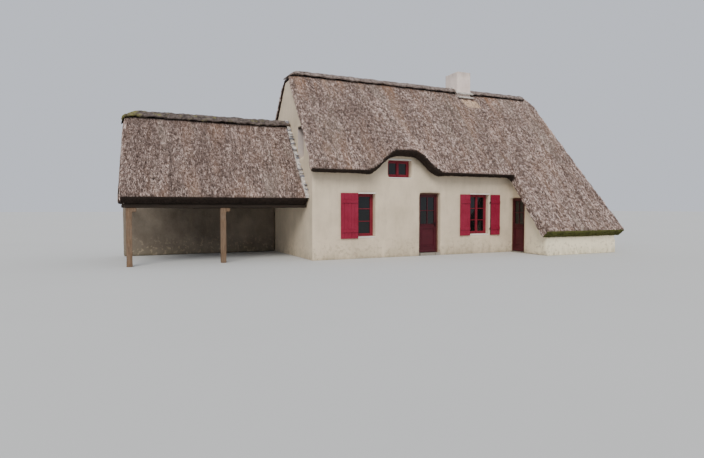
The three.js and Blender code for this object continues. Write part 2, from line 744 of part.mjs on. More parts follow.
// A window drawn with its outer face towards -Y, standing on the middle of its sill
function windowParts({ width, height, leaves, rows }) {
  const half = width / 2 - JOINT;
  const tall = height - JOINT;
  const edge = WINDOW_FRAME;
  const back = WINDOW_DEPTH;
  const barDepth = back / 2;
  const leafWide = (2 * (half - edge)) / leaves;
  let frame = block(-half, half, 0, back, JOINT, tall);
  frame = frame.subtract(block(-half + edge, half - edge, barDepth, back + PAST, edge, tall - edge));
  const paneTall = (tall - 2 * edge - 2 * WINDOW_STILE - (rows - 1) * WINDOW_BAR) / rows;
  for (let leaf = 0; leaf < leaves; leaf += 1) {
    const x0 = -half + edge + leaf * leafWide + WINDOW_STILE;
    for (let row = 0; row < rows; row += 1) {
      const z0 = edge + WINDOW_STILE + row * (paneTall + WINDOW_BAR);
      frame = frame.subtract(block(x0, x0 + leafWide - 2 * WINDOW_STILE, -PAST, back, z0, z0 + paneTall));
    }
  }
  const inset = edge + JOINT;
  const y0 = barDepth + JOINT;
  const glass = block(-half + inset, half - inset, y0, y0 + PANE, inset, tall - inset);
  return { frame, glass };
}

function addWindow(name, size, place, turn) {
  const group = new THREE.Group();
  group.position.set(...place);
  group.rotation.z = turn;
  cottage.add(group);
  const { frame, glass } = windowParts(size);
  addPiece(`${name}_frame`, frame, MAROON, group);
  addPiece(`${name}_glass`, glass, GLASS, group);
}

function addWindows() {
  const front = ({ x, sill }) => [x, WINDOW_RECESS, sill];
  addWindow("left_window", { ...LEFT_WINDOW, leaves: 1, rows: 3 }, front(LEFT_WINDOW), 0);
  addWindow("right_window", { ...RIGHT_WINDOW, leaves: 2, rows: 3 }, front(RIGHT_WINDOW), 0);
  addWindow("loft_window", { ...LOFT_WINDOW, leaves: 2, rows: 1 }, front(LOFT_WINDOW), 0);
  ["rear_right_window", "rear_left_window"].forEach((name, i) => {
    const place = [REAR_WINDOWS[i], HOUSE_DEPTH - WINDOW_RECESS, RIGHT_WINDOW.sill];
    addWindow(name, { ...RIGHT_WINDOW, leaves: 2, rows: 3 }, place, Math.PI);
  });
  const hatch = block(
    WINDOW_RECESS,
    WINDOW_RECESS + WINDOW_DEPTH,
    ATTIC.y - ATTIC.width / 2 + JOINT,
    ATTIC.y + ATTIC.width / 2 - JOINT,
    ATTIC.sill + JOINT,
    ATTIC.sill + ATTIC.height - JOINT,
  );
  addPiece("attic_hatch", hatch, OAK);
}

// A half-glazed door drawn with its outer face towards -Y, standing on the middle of
// its threshold. The leaf hangs behind the lip of its frame and swings inwards on the
// left. A strap's eye drops on each pin.
function doorParts({ width, height, jamb, rail, stile }) {
  const half = width / 2 - JOINT;
  const back = STOP_LIP + LEAF_GAP + LEAF;
  const daylight = width / 2 - jamb;
  const rebate = daylight + LIP_OVERLAP;
  const leafHalf = rebate - LEAF_GAP;
  const leafTop = height - jamb + LIP_OVERLAP - LEAF_GAP;
  const axisX = -leafHalf - HINGE_ASIDE;
  const axisY = back + HINGE_OUT;
  let frame = block(-half, half, 0, back, JOINT, height - JOINT)
    .subtract(block(-daylight, daylight, -PAST, back + PAST, -PAST, height - jamb))
    .subtract(block(-rebate, rebate, STOP_LIP, back + PAST, -PAST, height - jamb + LIP_OVERLAP));
  const glassX = leafHalf - stile + GLASS_REBATE - JOINT;
  const glass = { x: glassX, y: back - GLASS_IN, z0: rail, z1: leafTop - stile };
  const face = STOP_LIP + LEAF_GAP;
  const bar = WINDOW_BAR / 2;
  const middleZ = (glass.z0 + glass.z1) / 2;
  let leaf = block(-leafHalf, leafHalf, face, back, LEAF_LIFT, leafTop).subtract(block(
    -leafHalf + stile - GLASS_REBATE,
    leafHalf - stile + GLASS_REBATE,
    glass.y - JOINT,
    back + PAST,
    glass.z0 - GLASS_REBATE,
    glass.z1 + GLASS_REBATE,
  ));
  for (const [x0, x1] of [[-leafHalf + stile, -bar], [bar, leafHalf - stile]]) {
    for (const [z0, z1] of [[glass.z0, middleZ - bar], [middleZ + bar, glass.z1]]) {
      leaf = leaf.subtract(block(x0, x1, face - PAST, back, z0, z1));
    }
  }
  for (const share of HINGE_SHARES) {
    const z = share * height;
    const top = z + HINGE_TALL;
    const shelf = z - JOINT;
    const shelfLow = shelf - HINGE_SHELF;
    frame = frame.add(block(axisX - HINGE_ARM, axisX, back - WELD, axisY + HINGE_PIN, shelfLow, shelf))
      .add(uprightPin(axisX, axisY, shelfLow, shelf, HINGE_EYE))
      .add(uprightPin(axisX, axisY, shelfLow + WELD, top + HINGE_PIN, HINGE_PIN));
    leaf = leaf.add(block(axisX, axisX + stile - HINGE_NECK, back - WELD, back + HINGE_STRAP, z, top))
      .add(block(axisX, axisX + HINGE_NECK, back, axisY, z, top))
      .add(uprightPin(axisX, axisY, z, top, HINGE_EYE))
      .subtract(uprightPin(axisX, axisY, z - PAST, top + PAST, HINGE_PIN + HINGE_PLAY));
  }
  const { x, y, z0, z1 } = glass;
  const sheet = block(-x, x, y, y + PANE, z0 - GLASS_REBATE + JOINT, z1 + GLASS_REBATE - JOINT);
  return { frame, leaf, sheet };
}

function addDoor(name, size, place, turn) {
  const group = new THREE.Group();
  group.position.set(...place);
  group.rotation.z = turn;
  cottage.add(group);
  const { frame, leaf, sheet } = doorParts(size);
  addPiece(`${name}_frame`, frame, MAROON, group);
  addPiece(`${name}_leaf`, leaf, MAROON, group);
  addPiece(`${name}_glass`, sheet, GLASS, group);
}

function addDoors() {
  const { x, recess, base } = FRONT_DOOR;
  addDoor("front_door", FRONT_DOOR, [x, recess, base], 0);
  const place = [STORE_X + STORE_DOOR.recess, -STORE_DOOR.width / 2, STORE_DOOR.base];
  addDoor("store_door", STORE_DOOR, place, -Math.PI / 2);
}

// Boarded shutters, folded back flat against the wall
function addShutters() {
  const { bottom, top, board, batten, batten_tall } = SHUTTER;
  const face = SHUTTER_BACK_Y - board;
  const strapY = SHUTTER_BACK_Y - STRAP_DEPTH;
  for (const [name, { x, side, width }] of Object.entries(shutterAxes())) {
    const across = (near, far) => [x + side * near, x + side * far].sort((a, b) => a - b);
    const boards = across(STRAP_EYE, STRAP_EYE + width);
    const [battenX0, battenX1] = [boards[0] + SHUTTER_BATTEN_IN, boards[1] - SHUTTER_BATTEN_IN];
    let leaf = block(...boards, face, SHUTTER_BACK_Y, bottom, top);
    for (const z of SHUTTER_BATTENS) {
      const low = z - batten_tall / 2;
      const strap = [z - STRAP_HALF, z + STRAP_HALF];
      leaf = leaf.add(block(battenX0, battenX1, face - batten, face + WELD, low, low + batten_tall))
        .add(block(...across(0, STRAP_EYE + WELD), strapY, SHUTTER_BACK_Y - WELD, ...strap))
        .add(uprightPin(x, SHUTTER_AXIS_Y, ...strap, STRAP_EYE))
        .subtract(uprightPin(x, SHUTTER_AXIS_Y, z - PAST, z + PAST, PINTLE_PIN + HINGE_PLAY));
    }
    addPiece(name, leaf, CRIMSON);
  }
}

addFrontWalls();
addGableWalls();
addRearWall();
addStoreWalls();
addFloors();
addChimney();
addMainRoof();
addShedRoof();
addShedTimbers();
addShedTrusses();
addWindows();
addDoors();
addShutters();

const extent = new THREE.Box3().setFromObject(cottage);
cottage.position.x = -Math.round((extent.min.x + extent.max.x) / 2);
cottage.position.y = -Math.round((extent.min.y + extent.max.y) / 2);

export default cottage;
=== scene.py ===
import json
import math

import bpy
import numpy as np
from mathutils import Euler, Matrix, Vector, noise

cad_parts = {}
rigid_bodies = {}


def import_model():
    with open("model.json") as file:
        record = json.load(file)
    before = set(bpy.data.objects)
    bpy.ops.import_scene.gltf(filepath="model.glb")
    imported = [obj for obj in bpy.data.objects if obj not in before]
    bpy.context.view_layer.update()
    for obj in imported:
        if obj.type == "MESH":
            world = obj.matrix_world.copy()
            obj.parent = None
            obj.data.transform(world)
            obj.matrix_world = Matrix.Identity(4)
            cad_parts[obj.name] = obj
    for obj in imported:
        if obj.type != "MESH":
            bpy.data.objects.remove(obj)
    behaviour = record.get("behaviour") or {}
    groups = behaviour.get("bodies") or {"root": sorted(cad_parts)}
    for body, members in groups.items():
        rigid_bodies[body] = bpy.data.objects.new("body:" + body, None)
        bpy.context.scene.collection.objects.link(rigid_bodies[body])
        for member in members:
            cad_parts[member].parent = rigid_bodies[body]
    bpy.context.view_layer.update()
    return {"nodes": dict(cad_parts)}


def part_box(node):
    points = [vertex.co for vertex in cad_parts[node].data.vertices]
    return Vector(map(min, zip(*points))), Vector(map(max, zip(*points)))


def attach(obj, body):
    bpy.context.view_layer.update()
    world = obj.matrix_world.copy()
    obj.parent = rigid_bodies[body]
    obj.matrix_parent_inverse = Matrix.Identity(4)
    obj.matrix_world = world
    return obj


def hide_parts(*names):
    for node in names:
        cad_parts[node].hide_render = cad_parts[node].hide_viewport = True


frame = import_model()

# HOUSE WALLS
# Rubble stone walls half a metre thick, rendered with lime and washed cream many
# times over. All nine lengths of wall are one mass, with soft arrises and hollows.
WALL_NODES = (
    "front_wall_left", "front_wall_over_door", "front_wall_right", "left_gable_wall", "right_gable_wall",
    "rear_wall", "store_low_wall", "store_wall_beside_door", "store_wall_over_door",
)
FRONT_FACE = -1.685
WALL_VOXEL = 0.055
WALL_OVERLAP = 0.004
INSIDE_KEPT = 0.12


def edit(choice="SELECT"):
    """Opens the active piece in edit mode, with all of it selected or none."""
    bpy.ops.object.mode_set(mode="EDIT")
    bpy.ops.mesh.select_all(action=choice)


def leave_edit():
    bpy.ops.object.mode_set(mode="OBJECT")


def clear_selection():
    if bpy.context.object and bpy.context.object.mode != "OBJECT":
        leave_edit()
    bpy.ops.object.select_all(action="DESELECT")


def take_up(piece):
    """Makes one piece the only one selected, so that the next operator acts on it alone."""
    clear_selection()
    bpy.context.view_layer.objects.active = piece
    piece.select_set(True)


def copy_of(called, *names):
    """CAD solids copied into one new piece, each with its loose triangles merged."""
    clear_selection()
    for name in names:
        part = bpy.data.objects.new(called, frame["nodes"][name].data.copy())
        bpy.context.scene.collection.objects.link(part)
        part.select_set(True)
        bpy.context.view_layer.objects.active = part
    bpy.ops.object.join()
    piece = bpy.context.object
    piece.name = called
    piece.data.materials.clear()
    bpy.ops.mesh.customdata_custom_splitnormals_clear()
    edit()
    bpy.ops.mesh.remove_doubles(threshold=0.0001)
    leave_edit()
    return piece


def use_modifier(piece, kind, **settings):
    """Adds one modifier to a piece and applies it."""
    take_up(piece)
    bpy.ops.object.modifier_add(type=kind)
    modifier = piece.modifiers[-1]
    for key, value in settings.items():
        setattr(modifier, key, value)
    bpy.ops.object.modifier_apply(modifier=modifier.name)


def cast(piece, voxel, swell=0.0):
    """Turns solids that touch into one even skin of small faces."""
    if swell:
        take_up(piece)
        edit()
        bpy.ops.transform.shrink_fatten(value=swell)
        leave_edit()
    use_modifier(piece, "REMESH", mode="VOXEL", voxel_size=voxel, use_smooth_shade=True)


def read_out(items, key):
    """Three numbers from each point or face, as rows."""
    rows = np.empty(len(items) * 3)
    items.foreach_get(key, rows)
    return rows.reshape(-1, 3)


def points_of(piece):
    return read_out(piece.data.vertices, "co")


def normals_of(piece):
    return read_out(piece.data.vertex_normals, "vector")


def face_table(piece):
    """The middle and the normal of each face."""
    return read_out(piece.data.polygons, "center"), read_out(piece.data.polygons, "normal")


def place_points(piece, points):
    piece.data.vertices.foreach_set("co", points.astype(np.float32).ravel())
    piece.data.update()


def push_out(piece, depth):
    """Moves each point along its normal by its own depth, inwards where that is negative."""
    place_points(piece, points_of(piece) + normals_of(piece) * np.asarray(depth)[:, None])


def lumps(points, size, seed):
    """Smooth noise from -1 to 1 at each point; size is in metres, one or three of them."""
    scaled = points / np.array(size) + seed * 7.31
    return np.array([noise.noise(Vector(p)) for p in scaled])


def select_faces(piece, chosen):
    """Selects exactly the faces marked in a list of yes and no, and leaves edit mode on."""
    take_up(piece)
    edit("DESELECT")
    bpy.ops.mesh.select_mode(type="FACE")
    leave_edit()
    piece.data.polygons.foreach_set("select", np.asarray(chosen, bool))
    bpy.ops.object.mode_set(mode="EDIT")


def blank(called, low, high):
    """A plain block between two corners, to be shaped."""
    clear_selection()
    low, high = Vector(low), Vector(high)
    bpy.ops.mesh.primitive_cube_add(size=1, location=(low + high) / 2)
    block = bpy.context.object
    block.name = called
    block.scale = high - low
    bpy.ops.object.transform_apply(location=True, rotation=True, scale=True)
    return block


def joined(called, pieces, finish=None):
    """One piece out of several, named anew, in one finish."""
    clear_selection()
    for piece in pieces:
        piece.select_set(True)
    bpy.context.view_layer.objects.active = pieces[0]
    bpy.ops.object.join()
    pieces[0].name = called
    if finish:
        wear(pieces[0], finish)
    return pieces[0]


def thin_out(piece, chosen, kept):
    """Fewer faces where nobody looks."""
    select_faces(piece, chosen)
    bpy.ops.mesh.decimate(ratio=kept)
    leave_edit()


def paint(red, green, blue):
    """A colour as a painter reads it off a card, 0 to 255, made linear for the shader."""
    share = [v / 255 for v in (red, green, blue)]
    return [v / 12.92 if v < 0.04045 else ((v + 0.055) / 1.055) ** 2.4 for v in share] + [1.0]


def new_finish(name, roughness):
    """A material whose roughness is the same all over, with little shine."""
    finish = bpy.data.materials.new(name)
    finish.use_nodes = True
    shader = finish.node_tree.nodes["Principled BSDF"]
    shader.inputs["Roughness"].default_value = roughness
    shader.inputs["Specular IOR Level"].default_value = 0.3
    return finish


def wear(piece, finish):
    piece.data.materials.append(finish)


def add(finish, kind, inputs=None, **settings):
    """One shader node. Inputs are set or linked by name or number."""
    node = finish.node_tree.nodes.new("ShaderNode" + kind)
    for key, value in settings.items():
        setattr(node, key, value)
    for key, value in (inputs or {}).items():
        if isinstance(value, bpy.types.NodeSocket):
            finish.node_tree.links.new(value, node.inputs[key])
        else:
            node.inputs[key].default_value = value
    return node


def place_in(finish, scale=(1, 1, 1), turn=(0, 0, 0)):
    """The place on the piece in metres, stretched and turned for a pattern."""
    place = add(finish, "TexCoord").outputs["Object"]
    turned = add(finish, "Mapping", {"Vector": place, "Rotation": turn}).outputs[0]
    return add(finish, "Mapping", {"Vector": turned, "Scale": scale}).outputs[0]


def mapped(finish, value, low, high, start=0.0, end=1.0):
    """The start below the low level, the end above the high one, and even between."""
    return add(finish, "MapRange", {0: value, 1: low, 2: high, 3: start, 4: end}).outputs[0]


def cloud(finish, place, size, low=0.35, high=0.65, detail=4.0, rough=0.6):
    """Cloudy marks of one size in metres: 0 below the low level, 1 above the high one."""
    grain = {"Vector": place, "Scale": 1 / size, "Detail": detail, "Roughness": rough}
    return mapped(finish, add(finish, "TexNoise", grain).outputs["Fac"], low, high)


def mixed(finish, share, first, second):
    return add(finish, "Mix", {0: share, 6: first, 7: second}, data_type="RGBA").outputs[2]


def times(finish, first, second):
    return add(finish, "Math", {0: first, 1: second}, operation="MULTIPLY").outputs[0]


def stained(finish, colour, marks, share, shade):
    """A colour with another laid over it where the marks are, at a share of full strength."""
    return mixed(finish, times(finish, marks, share), colour, paint(*shade))


def height_band(finish, low, high):
    """0 at one height above the ground and 1 at another."""
    place = add(finish, "TexCoord").outputs["Object"]
    height = add(finish, "SeparateXYZ", {0: place}).outputs["Z"]
    return mapped(finish, height, low, high)


def coat(finish, colour, bumps=()):
    """Joins the colour and a chain of (height, depth in metres) bumps to the shader."""
    links = finish.node_tree.links
    shader = finish.node_tree.nodes["Principled BSDF"]
    links.new(colour, shader.inputs["Base Color"])
    normal = None
    for height, depth in bumps:
        bump = add(finish, "Bump", {"Height": height, "Distance": depth, "Strength": 0.9})
        if normal:
            links.new(normal, bump.inputs["Normal"])
        normal = bump.outputs["Normal"]
    if normal:
        links.new(normal, shader.inputs["Normal"])
    return finish


def lime_render(name, wash, shade, ground_dirt=1.0, painted_light_share=0.0):
    """Lime render: a wash, thin in places, with rain streaks, soot at the chimney's rim,
    splashed earth, and flakes lost near the ground. The store's walls are painted whiter, as painted light."""
    finish = new_finish(name, 0.92)
    place = place_in(finish)
    falling = place_in(finish, (1, 1, 0.16))
    colour = mixed(finish, cloud(finish, place, 0.9, 0.3, 0.7), paint(*wash), paint(*shade))
    # Painted light: from y -1.75 to -3.3 the wash turns whiter, over the store's walls
    forward = add(finish, "SeparateXYZ", {0: place}).outputs["Y"]
    front = mapped(finish, forward, -1.75, -3.3, 0.0, painted_light_share)
    colour = mixed(finish, front, colour, paint(255, 242, 210))
    streaks = cloud(finish, falling, 0.16, 0.5, 0.78, 6.0, 0.7)
    colour = stained(finish, colour, streaks, 0.26, (150, 134, 112))
    worn = cloud(finish, place, 0.22, 0.6, 0.74, 8.0, 0.75)
    colour = stained(finish, colour, worn, 0.22, (164, 140, 114))
    by_rim = height_band(finish, 6.78, 7.03)
    soot = times(finish, by_rim, cloud(finish, falling, 0.12, 0.3, 0.6, 6.0, 0.7))
    colour = stained(finish, colour, soot, 0.5, (120, 110, 102))
    by_ground = height_band(finish, 0.34, 0.0)
    splash = times(finish, by_ground, cloud(finish, falling, 0.2, 0.36, 0.7, 6.0, 0.7))
    colour = stained(finish, colour, splash, 0.6 * ground_dirt, (120, 114, 88))
    lost = times(finish, height_band(finish, 0.75, 0.25), cloud(finish, place, 0.11, 0.56, 0.6, 4.0))
    colour = stained(finish, colour, lost, 0.45 * ground_dirt, (176, 160, 136))
    grain = cloud(finish, place, 0.02, 0.2, 0.8, 6.0, 0.7)
    trowel = cloud(finish, place, 0.16, 0.2, 0.8, 3.0)
    flakes = times(finish, lost, ground_dirt)
    return coat(finish, colour, ((trowel, 0.009), (grain, 0.004), (flakes, -0.006)))


walls = copy_of("house_walls", *WALL_NODES)
edit("DESELECT")
leave_edit()
# The pintles are iron and are made with the shutters, so they are cut off here
iron = [v.co.y < FRONT_FACE - 0.0005 and v.co.x < 4.8 for v in walls.data.vertices]
walls.data.vertices.foreach_set("select", iron)
bpy.ops.object.mode_set(mode="EDIT")
bpy.ops.mesh.select_linked()
bpy.ops.mesh.bisect(
    plane_co=(0, FRONT_FACE - 0.0004, 0), plane_no=(0, -1, 0), clear_outer=True, use_fill=True,
)
leave_edit()
cast(walls, WALL_VOXEL, WALL_OVERLAP)
spots, facing = points_of(walls), normals_of(walls)
in_reveal = (np.abs(facing[:, 1]) < 0.9) & (spots[:, 1] > FRONT_FACE + 0.03) & (spots[:, 1] < -1.2)
hollow = 0.5 + 0.5 * lumps(spots, 0.8, 1)
trowelled = 0.5 + 0.5 * lumps(spots, 0.17, 2)
depth = WALL_OVERLAP + np.where(in_reveal, 0.001, 0.009 * hollow + 0.005 * trowelled)
push_out(walls, -depth)
# The openings are cut clean again, a little inside their sides, as a plasterer's board
# does. These are the lowest and highest corners of each cut, the attic's last.
OPENINGS = (
    ((-1.408, -1.8, 0.70), (-0.788, -1.1, 2.10)), ((2.992, -1.8, 0.69), (3.852, -1.1, 2.12)),
    ((-0.308, -1.8, 2.64), (0.572, -1.1, 3.22)), ((0.910, -1.8, 0.10), (1.742, -1.1, 2.137)),
    ((-1.528, 2.65, 0.69), (-0.668, 3.35, 2.12)), ((2.992, 2.65, 0.69), (3.852, 3.35, 2.12)),
    ((4.8, -2.325, 0.05), (5.4, -1.685, 1.985)), ((-3.1, -0.832, 3.46), (-2.60, -0.354, 4.25)),
)
CLEAR = Vector((0.004, 0.004, 0.004))
cutters = [blank("cutter", Vector(low) + CLEAR, Vector(high) - CLEAR) for low, high in OPENINGS]
# The sides of the attic opening splay outwards a little, and its sill falls
ATTIC_MIDDLE, ATTIC_SPLAY, ATTIC_SILL_FALL, ATTIC_HEAD_RISE = -0.593, 0.07, 0.34, 0.05
splay = points_of(cutters[-1])
outside = splay[:, 0] < -3
splay[:, 1] += np.where(outside, np.sign(splay[:, 1] - ATTIC_MIDDLE) * ATTIC_SPLAY, 0)
splay[:, 2] += np.where(outside, np.where(splay[:, 2] < 3.6, -ATTIC_SILL_FALL, ATTIC_HEAD_RISE), 0)
place_points(cutters[-1], splay)
cutter = joined("opening_cutters", cutters)
use_modifier(walls, "BOOLEAN", operation="DIFFERENCE", object=cutter, solver="MANIFOLD")
bpy.data.objects.remove(cutter)
middles = face_table(walls)[0]
x, y = middles.T[:2]
inside = (x > -2.5) & (x < 7.36) & (y < 2.79) & ((y > -1.22) | ((y > -3.1) & (x > 5.27)))
for low, high in OPENINGS:
    inside &= ~np.all((middles > np.array(low) - 0.1) & (middles < np.array(high) + 0.1), axis=1)
thin_out(walls, inside, INSIDE_KEPT)
take_up(walls)
bpy.ops.object.shade_smooth_by_angle(angle=math.radians(50))
walls.data.materials.clear()
wear(walls, lime_render("cream_lime_render", (226, 208, 181), (203, 186, 161), painted_light_share=0.95))
# The sides of the attic opening are painted grey, as the shade kept inside the deep recess
wear(walls, lime_render("attic_reveal_painted_shade", (200, 187, 180), (168, 156, 148)))
middles, outward = face_table(walls)
shaded_reveal = np.all((middles > (-2.967, -0.92, 3.1)) & (middles < (-2.58, -0.27, 4.27)), axis=1)
shaded_reveal &= (np.abs(outward[:, 0]) < 0.7) & (outward[:, 2] < 0.5)
walls.data.polygons.foreach_set("material_index", shaded_reveal.astype(np.int32))
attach(walls, "root")
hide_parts(*WALL_NODES)

# SHED'S REAR WALL
# A low wall of the same rubble and render, the only closed side of the open shed. It
# is painted dark grey, as the shade inside the shed. The rear wall plate is bedded on its top.
shed_wall = copy_of("shed_back_wall", "shed_rear_wall")
cast(shed_wall, 0.05)
spots, facing = points_of(shed_wall), normals_of(shed_wall)
depth = 0.008 * (1 + lumps(spots, 0.5, 3)) + 0.004 * (1 + lumps(spots, 0.14, 4))
# The top swells a little instead, to meet the plate
depth = np.where((facing[:, 2] > 0.4) & (spots[:, 2] > 1.5), -0.012, depth)
push_out(shed_wall, -depth)
wear(shed_wall, lime_render("shed_wall_painted_shade", (134, 123, 109), (100, 90, 78)))
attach(shed_wall, "root")
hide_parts("shed_rear_wall")

# FLOORS
# Worn stone flags bedded in lime below, and wide elm boards on the loft, laid along
# the house. They show only through the windows and the open doors.
flags = new_finish("stone_flags", 0.8)
slabs = add(flags, "TexBrick", {
    "Vector": place_in(flags), "Color1": paint(158, 150, 138), "Color2": paint(134, 128, 118),
    "Mortar": paint(96, 90, 80), "Scale": 1.0, "Mortar Size": 0.012, "Brick Width": 0.62, "Row Height": 0.45,
})
trodden = cloud(flags, place_in(flags), 0.3, 0.4, 0.7, 6.0)
tone = stained(flags, slabs.outputs["Color"], trodden, 0.4, (112, 104, 92))
coat(flags, tone, ((slabs.outputs["Fac"], -0.006), (trodden, 0.002)))
frame["nodes"]["ground_floor"].data.materials[0] = flags

boards = new_finish("loft_boards", 0.75)
planks = add(boards, "TexBrick", {
    "Vector": place_in(boards), "Color1": paint(128, 100, 74), "Color2": paint(104, 82, 62),
    "Mortar": paint(30, 24, 20), "Scale": 1.0, "Mortar Size": 0.006, "Brick Width": 3.4, "Row Height": 0.2,
})
grain = cloud(boards, place_in(boards, (0.06, 1, 1)), 0.03, 0.35, 0.7, 6.0)
tone = stained(boards, planks.outputs["Color"], grain, 0.45, (70, 52, 38))
coat(boards, tone, ((planks.outputs["Fac"], -0.004), (grain, 0.001)))
frame["nodes"]["loft_floor"].data.materials[0] = boards

# THATCH
# Water reed laid in courses about a foot thick and weathered grey-brown. Each slope
# is one thick coat with a sagging, combed skin, and its reed ends show as stubble.
PITCH = math.radians(51.6)
RIDGE_Y = 0.785
HIP_START = 7.42
EYEBROW_X = 0.132
REAR_FACE = 3.255
CAP_COVER = 0.33
THATCH_VOXEL = 0.058
DOWN_FRONT = Vector((0, -math.cos(PITCH), -math.sin(PITCH)))
DOWN_REAR = Vector((0, math.cos(PITCH), -math.sin(PITCH)))


def straw_colours(finish, straw, combed, dim=1.0):
    """Weathered reed: pinkish grey-brown, mottled by damp and lichen, and tan by the ridge."""
    tone = add(finish, "ValToRGB", {0: straw})
    ramp = tone.color_ramp
    ramp.elements[0].color = paint(38 * dim, 29 * dim, 25 * dim)
    ramp.elements[1].color = paint(250 * dim, 232 * dim, 221 * dim)
    for at, colour in ((0.26, (90, 71, 62)), (0.45, (163, 139, 128)), (0.64, (229, 206, 195))):
        ramp.elements.new(at).color = paint(*[dim * v for v in colour])
    wet = cloud(finish, combed, 1.1, 0.46, 0.66, 6.0, 0.7)
    colour = stained(finish, tone.outputs[0], wet, 0.34, (82, 66, 59))
    lichen = cloud(finish, combed, 0.75, 0.52, 0.7, 6.0, 0.7)
    colour = stained(finish, colour, lichen, 0.3, (164, 154, 140))
    near_ridge = mapped(finish, height_band(finish, 5.4, 6.1), 0.0, 1.0, 0.16, 0.5)
    fresh = times(finish, cloud(finish, combed, 0.5, 0.5, 0.68, 6.0, 0.7), near_ridge)
    return mixed(finish, fresh, colour, paint(188, 142, 106))


def weighed(finish, *marks):
    """Marks added up, each times its weight."""
    total = 0.0
    for value, weight in marks:
        total = add(finish, "Math", {0: value, 1: weight, 2: total}, operation="MULTIPLY_ADD").outputs[0]
    return total


def thatch_finish(name, turn):
    """The coat itself, painted darker than the reed ends that lie on it, as the shade in the gaps between
    them. The turn is the slope's.
    """
    finish = new_finish(name, 0.95)
    place = place_in(finish)
    combed = place_in(finish, (1, 0.2, 1), (turn, 0, 0))
    fine = cloud(finish, combed, 0.03, 0.3, 0.7, 3.0, 0.7)
    flecks = cloud(finish, place, 0.05, 0.3, 0.72, 3.0, 0.7)
    straw = weighed(finish, (fine, 0.4), (flecks, 0.4))
    return coat(finish, straw_colours(finish, straw, combed, 0.72), ((fine, 0.012), (flecks, 0.01)))


def cut_reed_finish():
    """The sheared eaves: reed ends packed side by side, painted almost black as the shade
    under the eave, and green with algae along the low eave."""
    finish = new_finish("cut_reed_ends", 0.95)
    place = place_in(finish)
    ends = add(finish, "TexVoronoi", {"Vector": place, "Scale": 60.0})
    colour = mixed(finish, ends.outputs["Distance"], paint(74, 58, 48), paint(20, 16, 13))
    # Patches darker still, also painted shade
    dark = cloud(finish, place, 0.09, 0.35, 0.65, 4.0)
    colour = stained(finish, colour, dark, 0.5, (26, 21, 18))
    low = times(finish, height_band(finish, 1.5, 0.9), cloud(finish, place, 0.12, 0.25, 0.5, 5.0))
    colour = stained(finish, colour, low, 0.85, (96, 99, 48))
    return coat(finish, colour, ((ends.outputs["Distance"], -0.012),))


def comb(piece, down, seed):
    """Sags the coat between the rafters and combs bundles of reed into its outer skin."""
    spots, facing = points_of(piece), normals_of(piece)
    through = np.cross((1, 0, 0), down)
    laid = np.column_stack((spots[:, 0], spots @ np.array(down), spots @ through))
    sag = 0.022 * lumps(laid, (1.9, 2.6, 9), seed)
    bundles = 0.013 * lumps(laid, (0.17, 0.75, 9), seed + 1)
    stubble = 0.008 * lumps(laid, (0.075, 0.16, 9), seed + 2)
    outer = np.clip(facing[:, 2] * 2.2, 0, 1)
    ragged = 0.012 * lumps(spots, (0.09, 0.3, 0.3), seed + 3)
    depth = outer * (sag + bundles + stubble) + (1 - outer) * ragged
    under_cap = np.clip(1 - (np.abs(spots[:, 1] - RIDGE_Y) - 0.2) / 0.15, 0, 1) * (spots[:, 0] < HIP_START)
    push_out(piece, depth - 0.02 * under_cap)


def undercut(piece, tip, wall, last_x):
    """Shears the eave flatter: its lower edge rises, so that drips fall clear of the wall."""
    spots, facing = points_of(piece), normals_of(piece)
    inward = (spots[:, 1] - tip) / (wall - tip)
    rise = np.clip(inward / 0.55, 0, 1) * np.clip((1 - inward) / 0.45, 0, 1)
    skin = np.clip((0.15 - facing[:, 2]) / 0.3, 0, 1) * np.clip((last_x - spots[:, 0]) / 0.15, 0, 1)
    lift = 0.10 * rise * skin
    if tip < 0:
        lift *= np.clip((np.abs(spots[:, 0] - EYEBROW_X) - 1.1) / 0.5, 0, 1)
    spots[:, 2] += lift
    place_points(piece, spots)


def parted(spots):
    """How much the shed's reed has parted: a long seam down the slope and a short slot."""
    x, y = spots.T[:2]
    seam = np.abs(x + 6.893 - 0.1423 * y - 0.02 * np.sin(9 * y)) / 0.045
    slot = np.maximum(np.abs(x + 7.56) / 0.26, np.abs(y + 1.0) / 0.04)
    along = np.clip((0.1 - y) / 0.5, 0, 1)
    return np.maximum(np.clip(1.3 - seam, 0, 1) * along, np.clip(1.6 - 1.5 * slot, 0, 1) * 0.8)


def reed_coat(called, node, down, seed, finishes):
    """One slope of thatch, in two finishes: the combed skin, and the sheared eave."""
    piece = copy_of(called, node)
    cast(piece, THATCH_VOXEL)
    if node == "front_thatch":
        undercut(piece, -2.145, FRONT_FACE, 4.60)
    if node == "rear_thatch":
        undercut(piece, 3.715, REAR_FACE, 9)
    comb(piece, down, seed)
    if node == "shed_front_thatch":
        push_out(piece, -0.045 * parted(points_of(piece)) * (normals_of(piece)[:, 2] > 0.2))
    thin_out(piece, face_table(piece)[1][:, 2] < -0.3, 0.15)
    outward = face_table(piece)[1]
    for finish in finishes:
        wear(piece, finish)
    sheared = (outward @ np.array(down) > 0.55) | (outward[:, 2] < -0.2)
    piece.data.polygons.foreach_set("material_index", sheared.astype(np.int32))
    take_up(piece)
    bpy.ops.object.shade_smooth()
    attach(piece, "root")
    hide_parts(node)
    return piece


def tip_finish(name, turn):
    """Single reed ends: each has its own tone, and they darken and bleach in clumps."""
    finish = new_finish(name, 0.9)
    own = add(finish, "Attribute", attribute_name="reed").outputs["Fac"]
    combed = place_in(finish, (1, 0.2, 1), (turn, 0, 0))
    clump = cloud(finish, place_in(finish, (1, 0.7, 0.7)), 0.075, 0.36, 0.64, 3.0)
    streak = cloud(finish, combed, 0.13, 0.36, 0.64, 4.0)
    straw = weighed(finish, (own, 0.24), (clump, 0.50), (streak, 0.26))
    return coat(finish, straw_colours(finish, straw, combed))


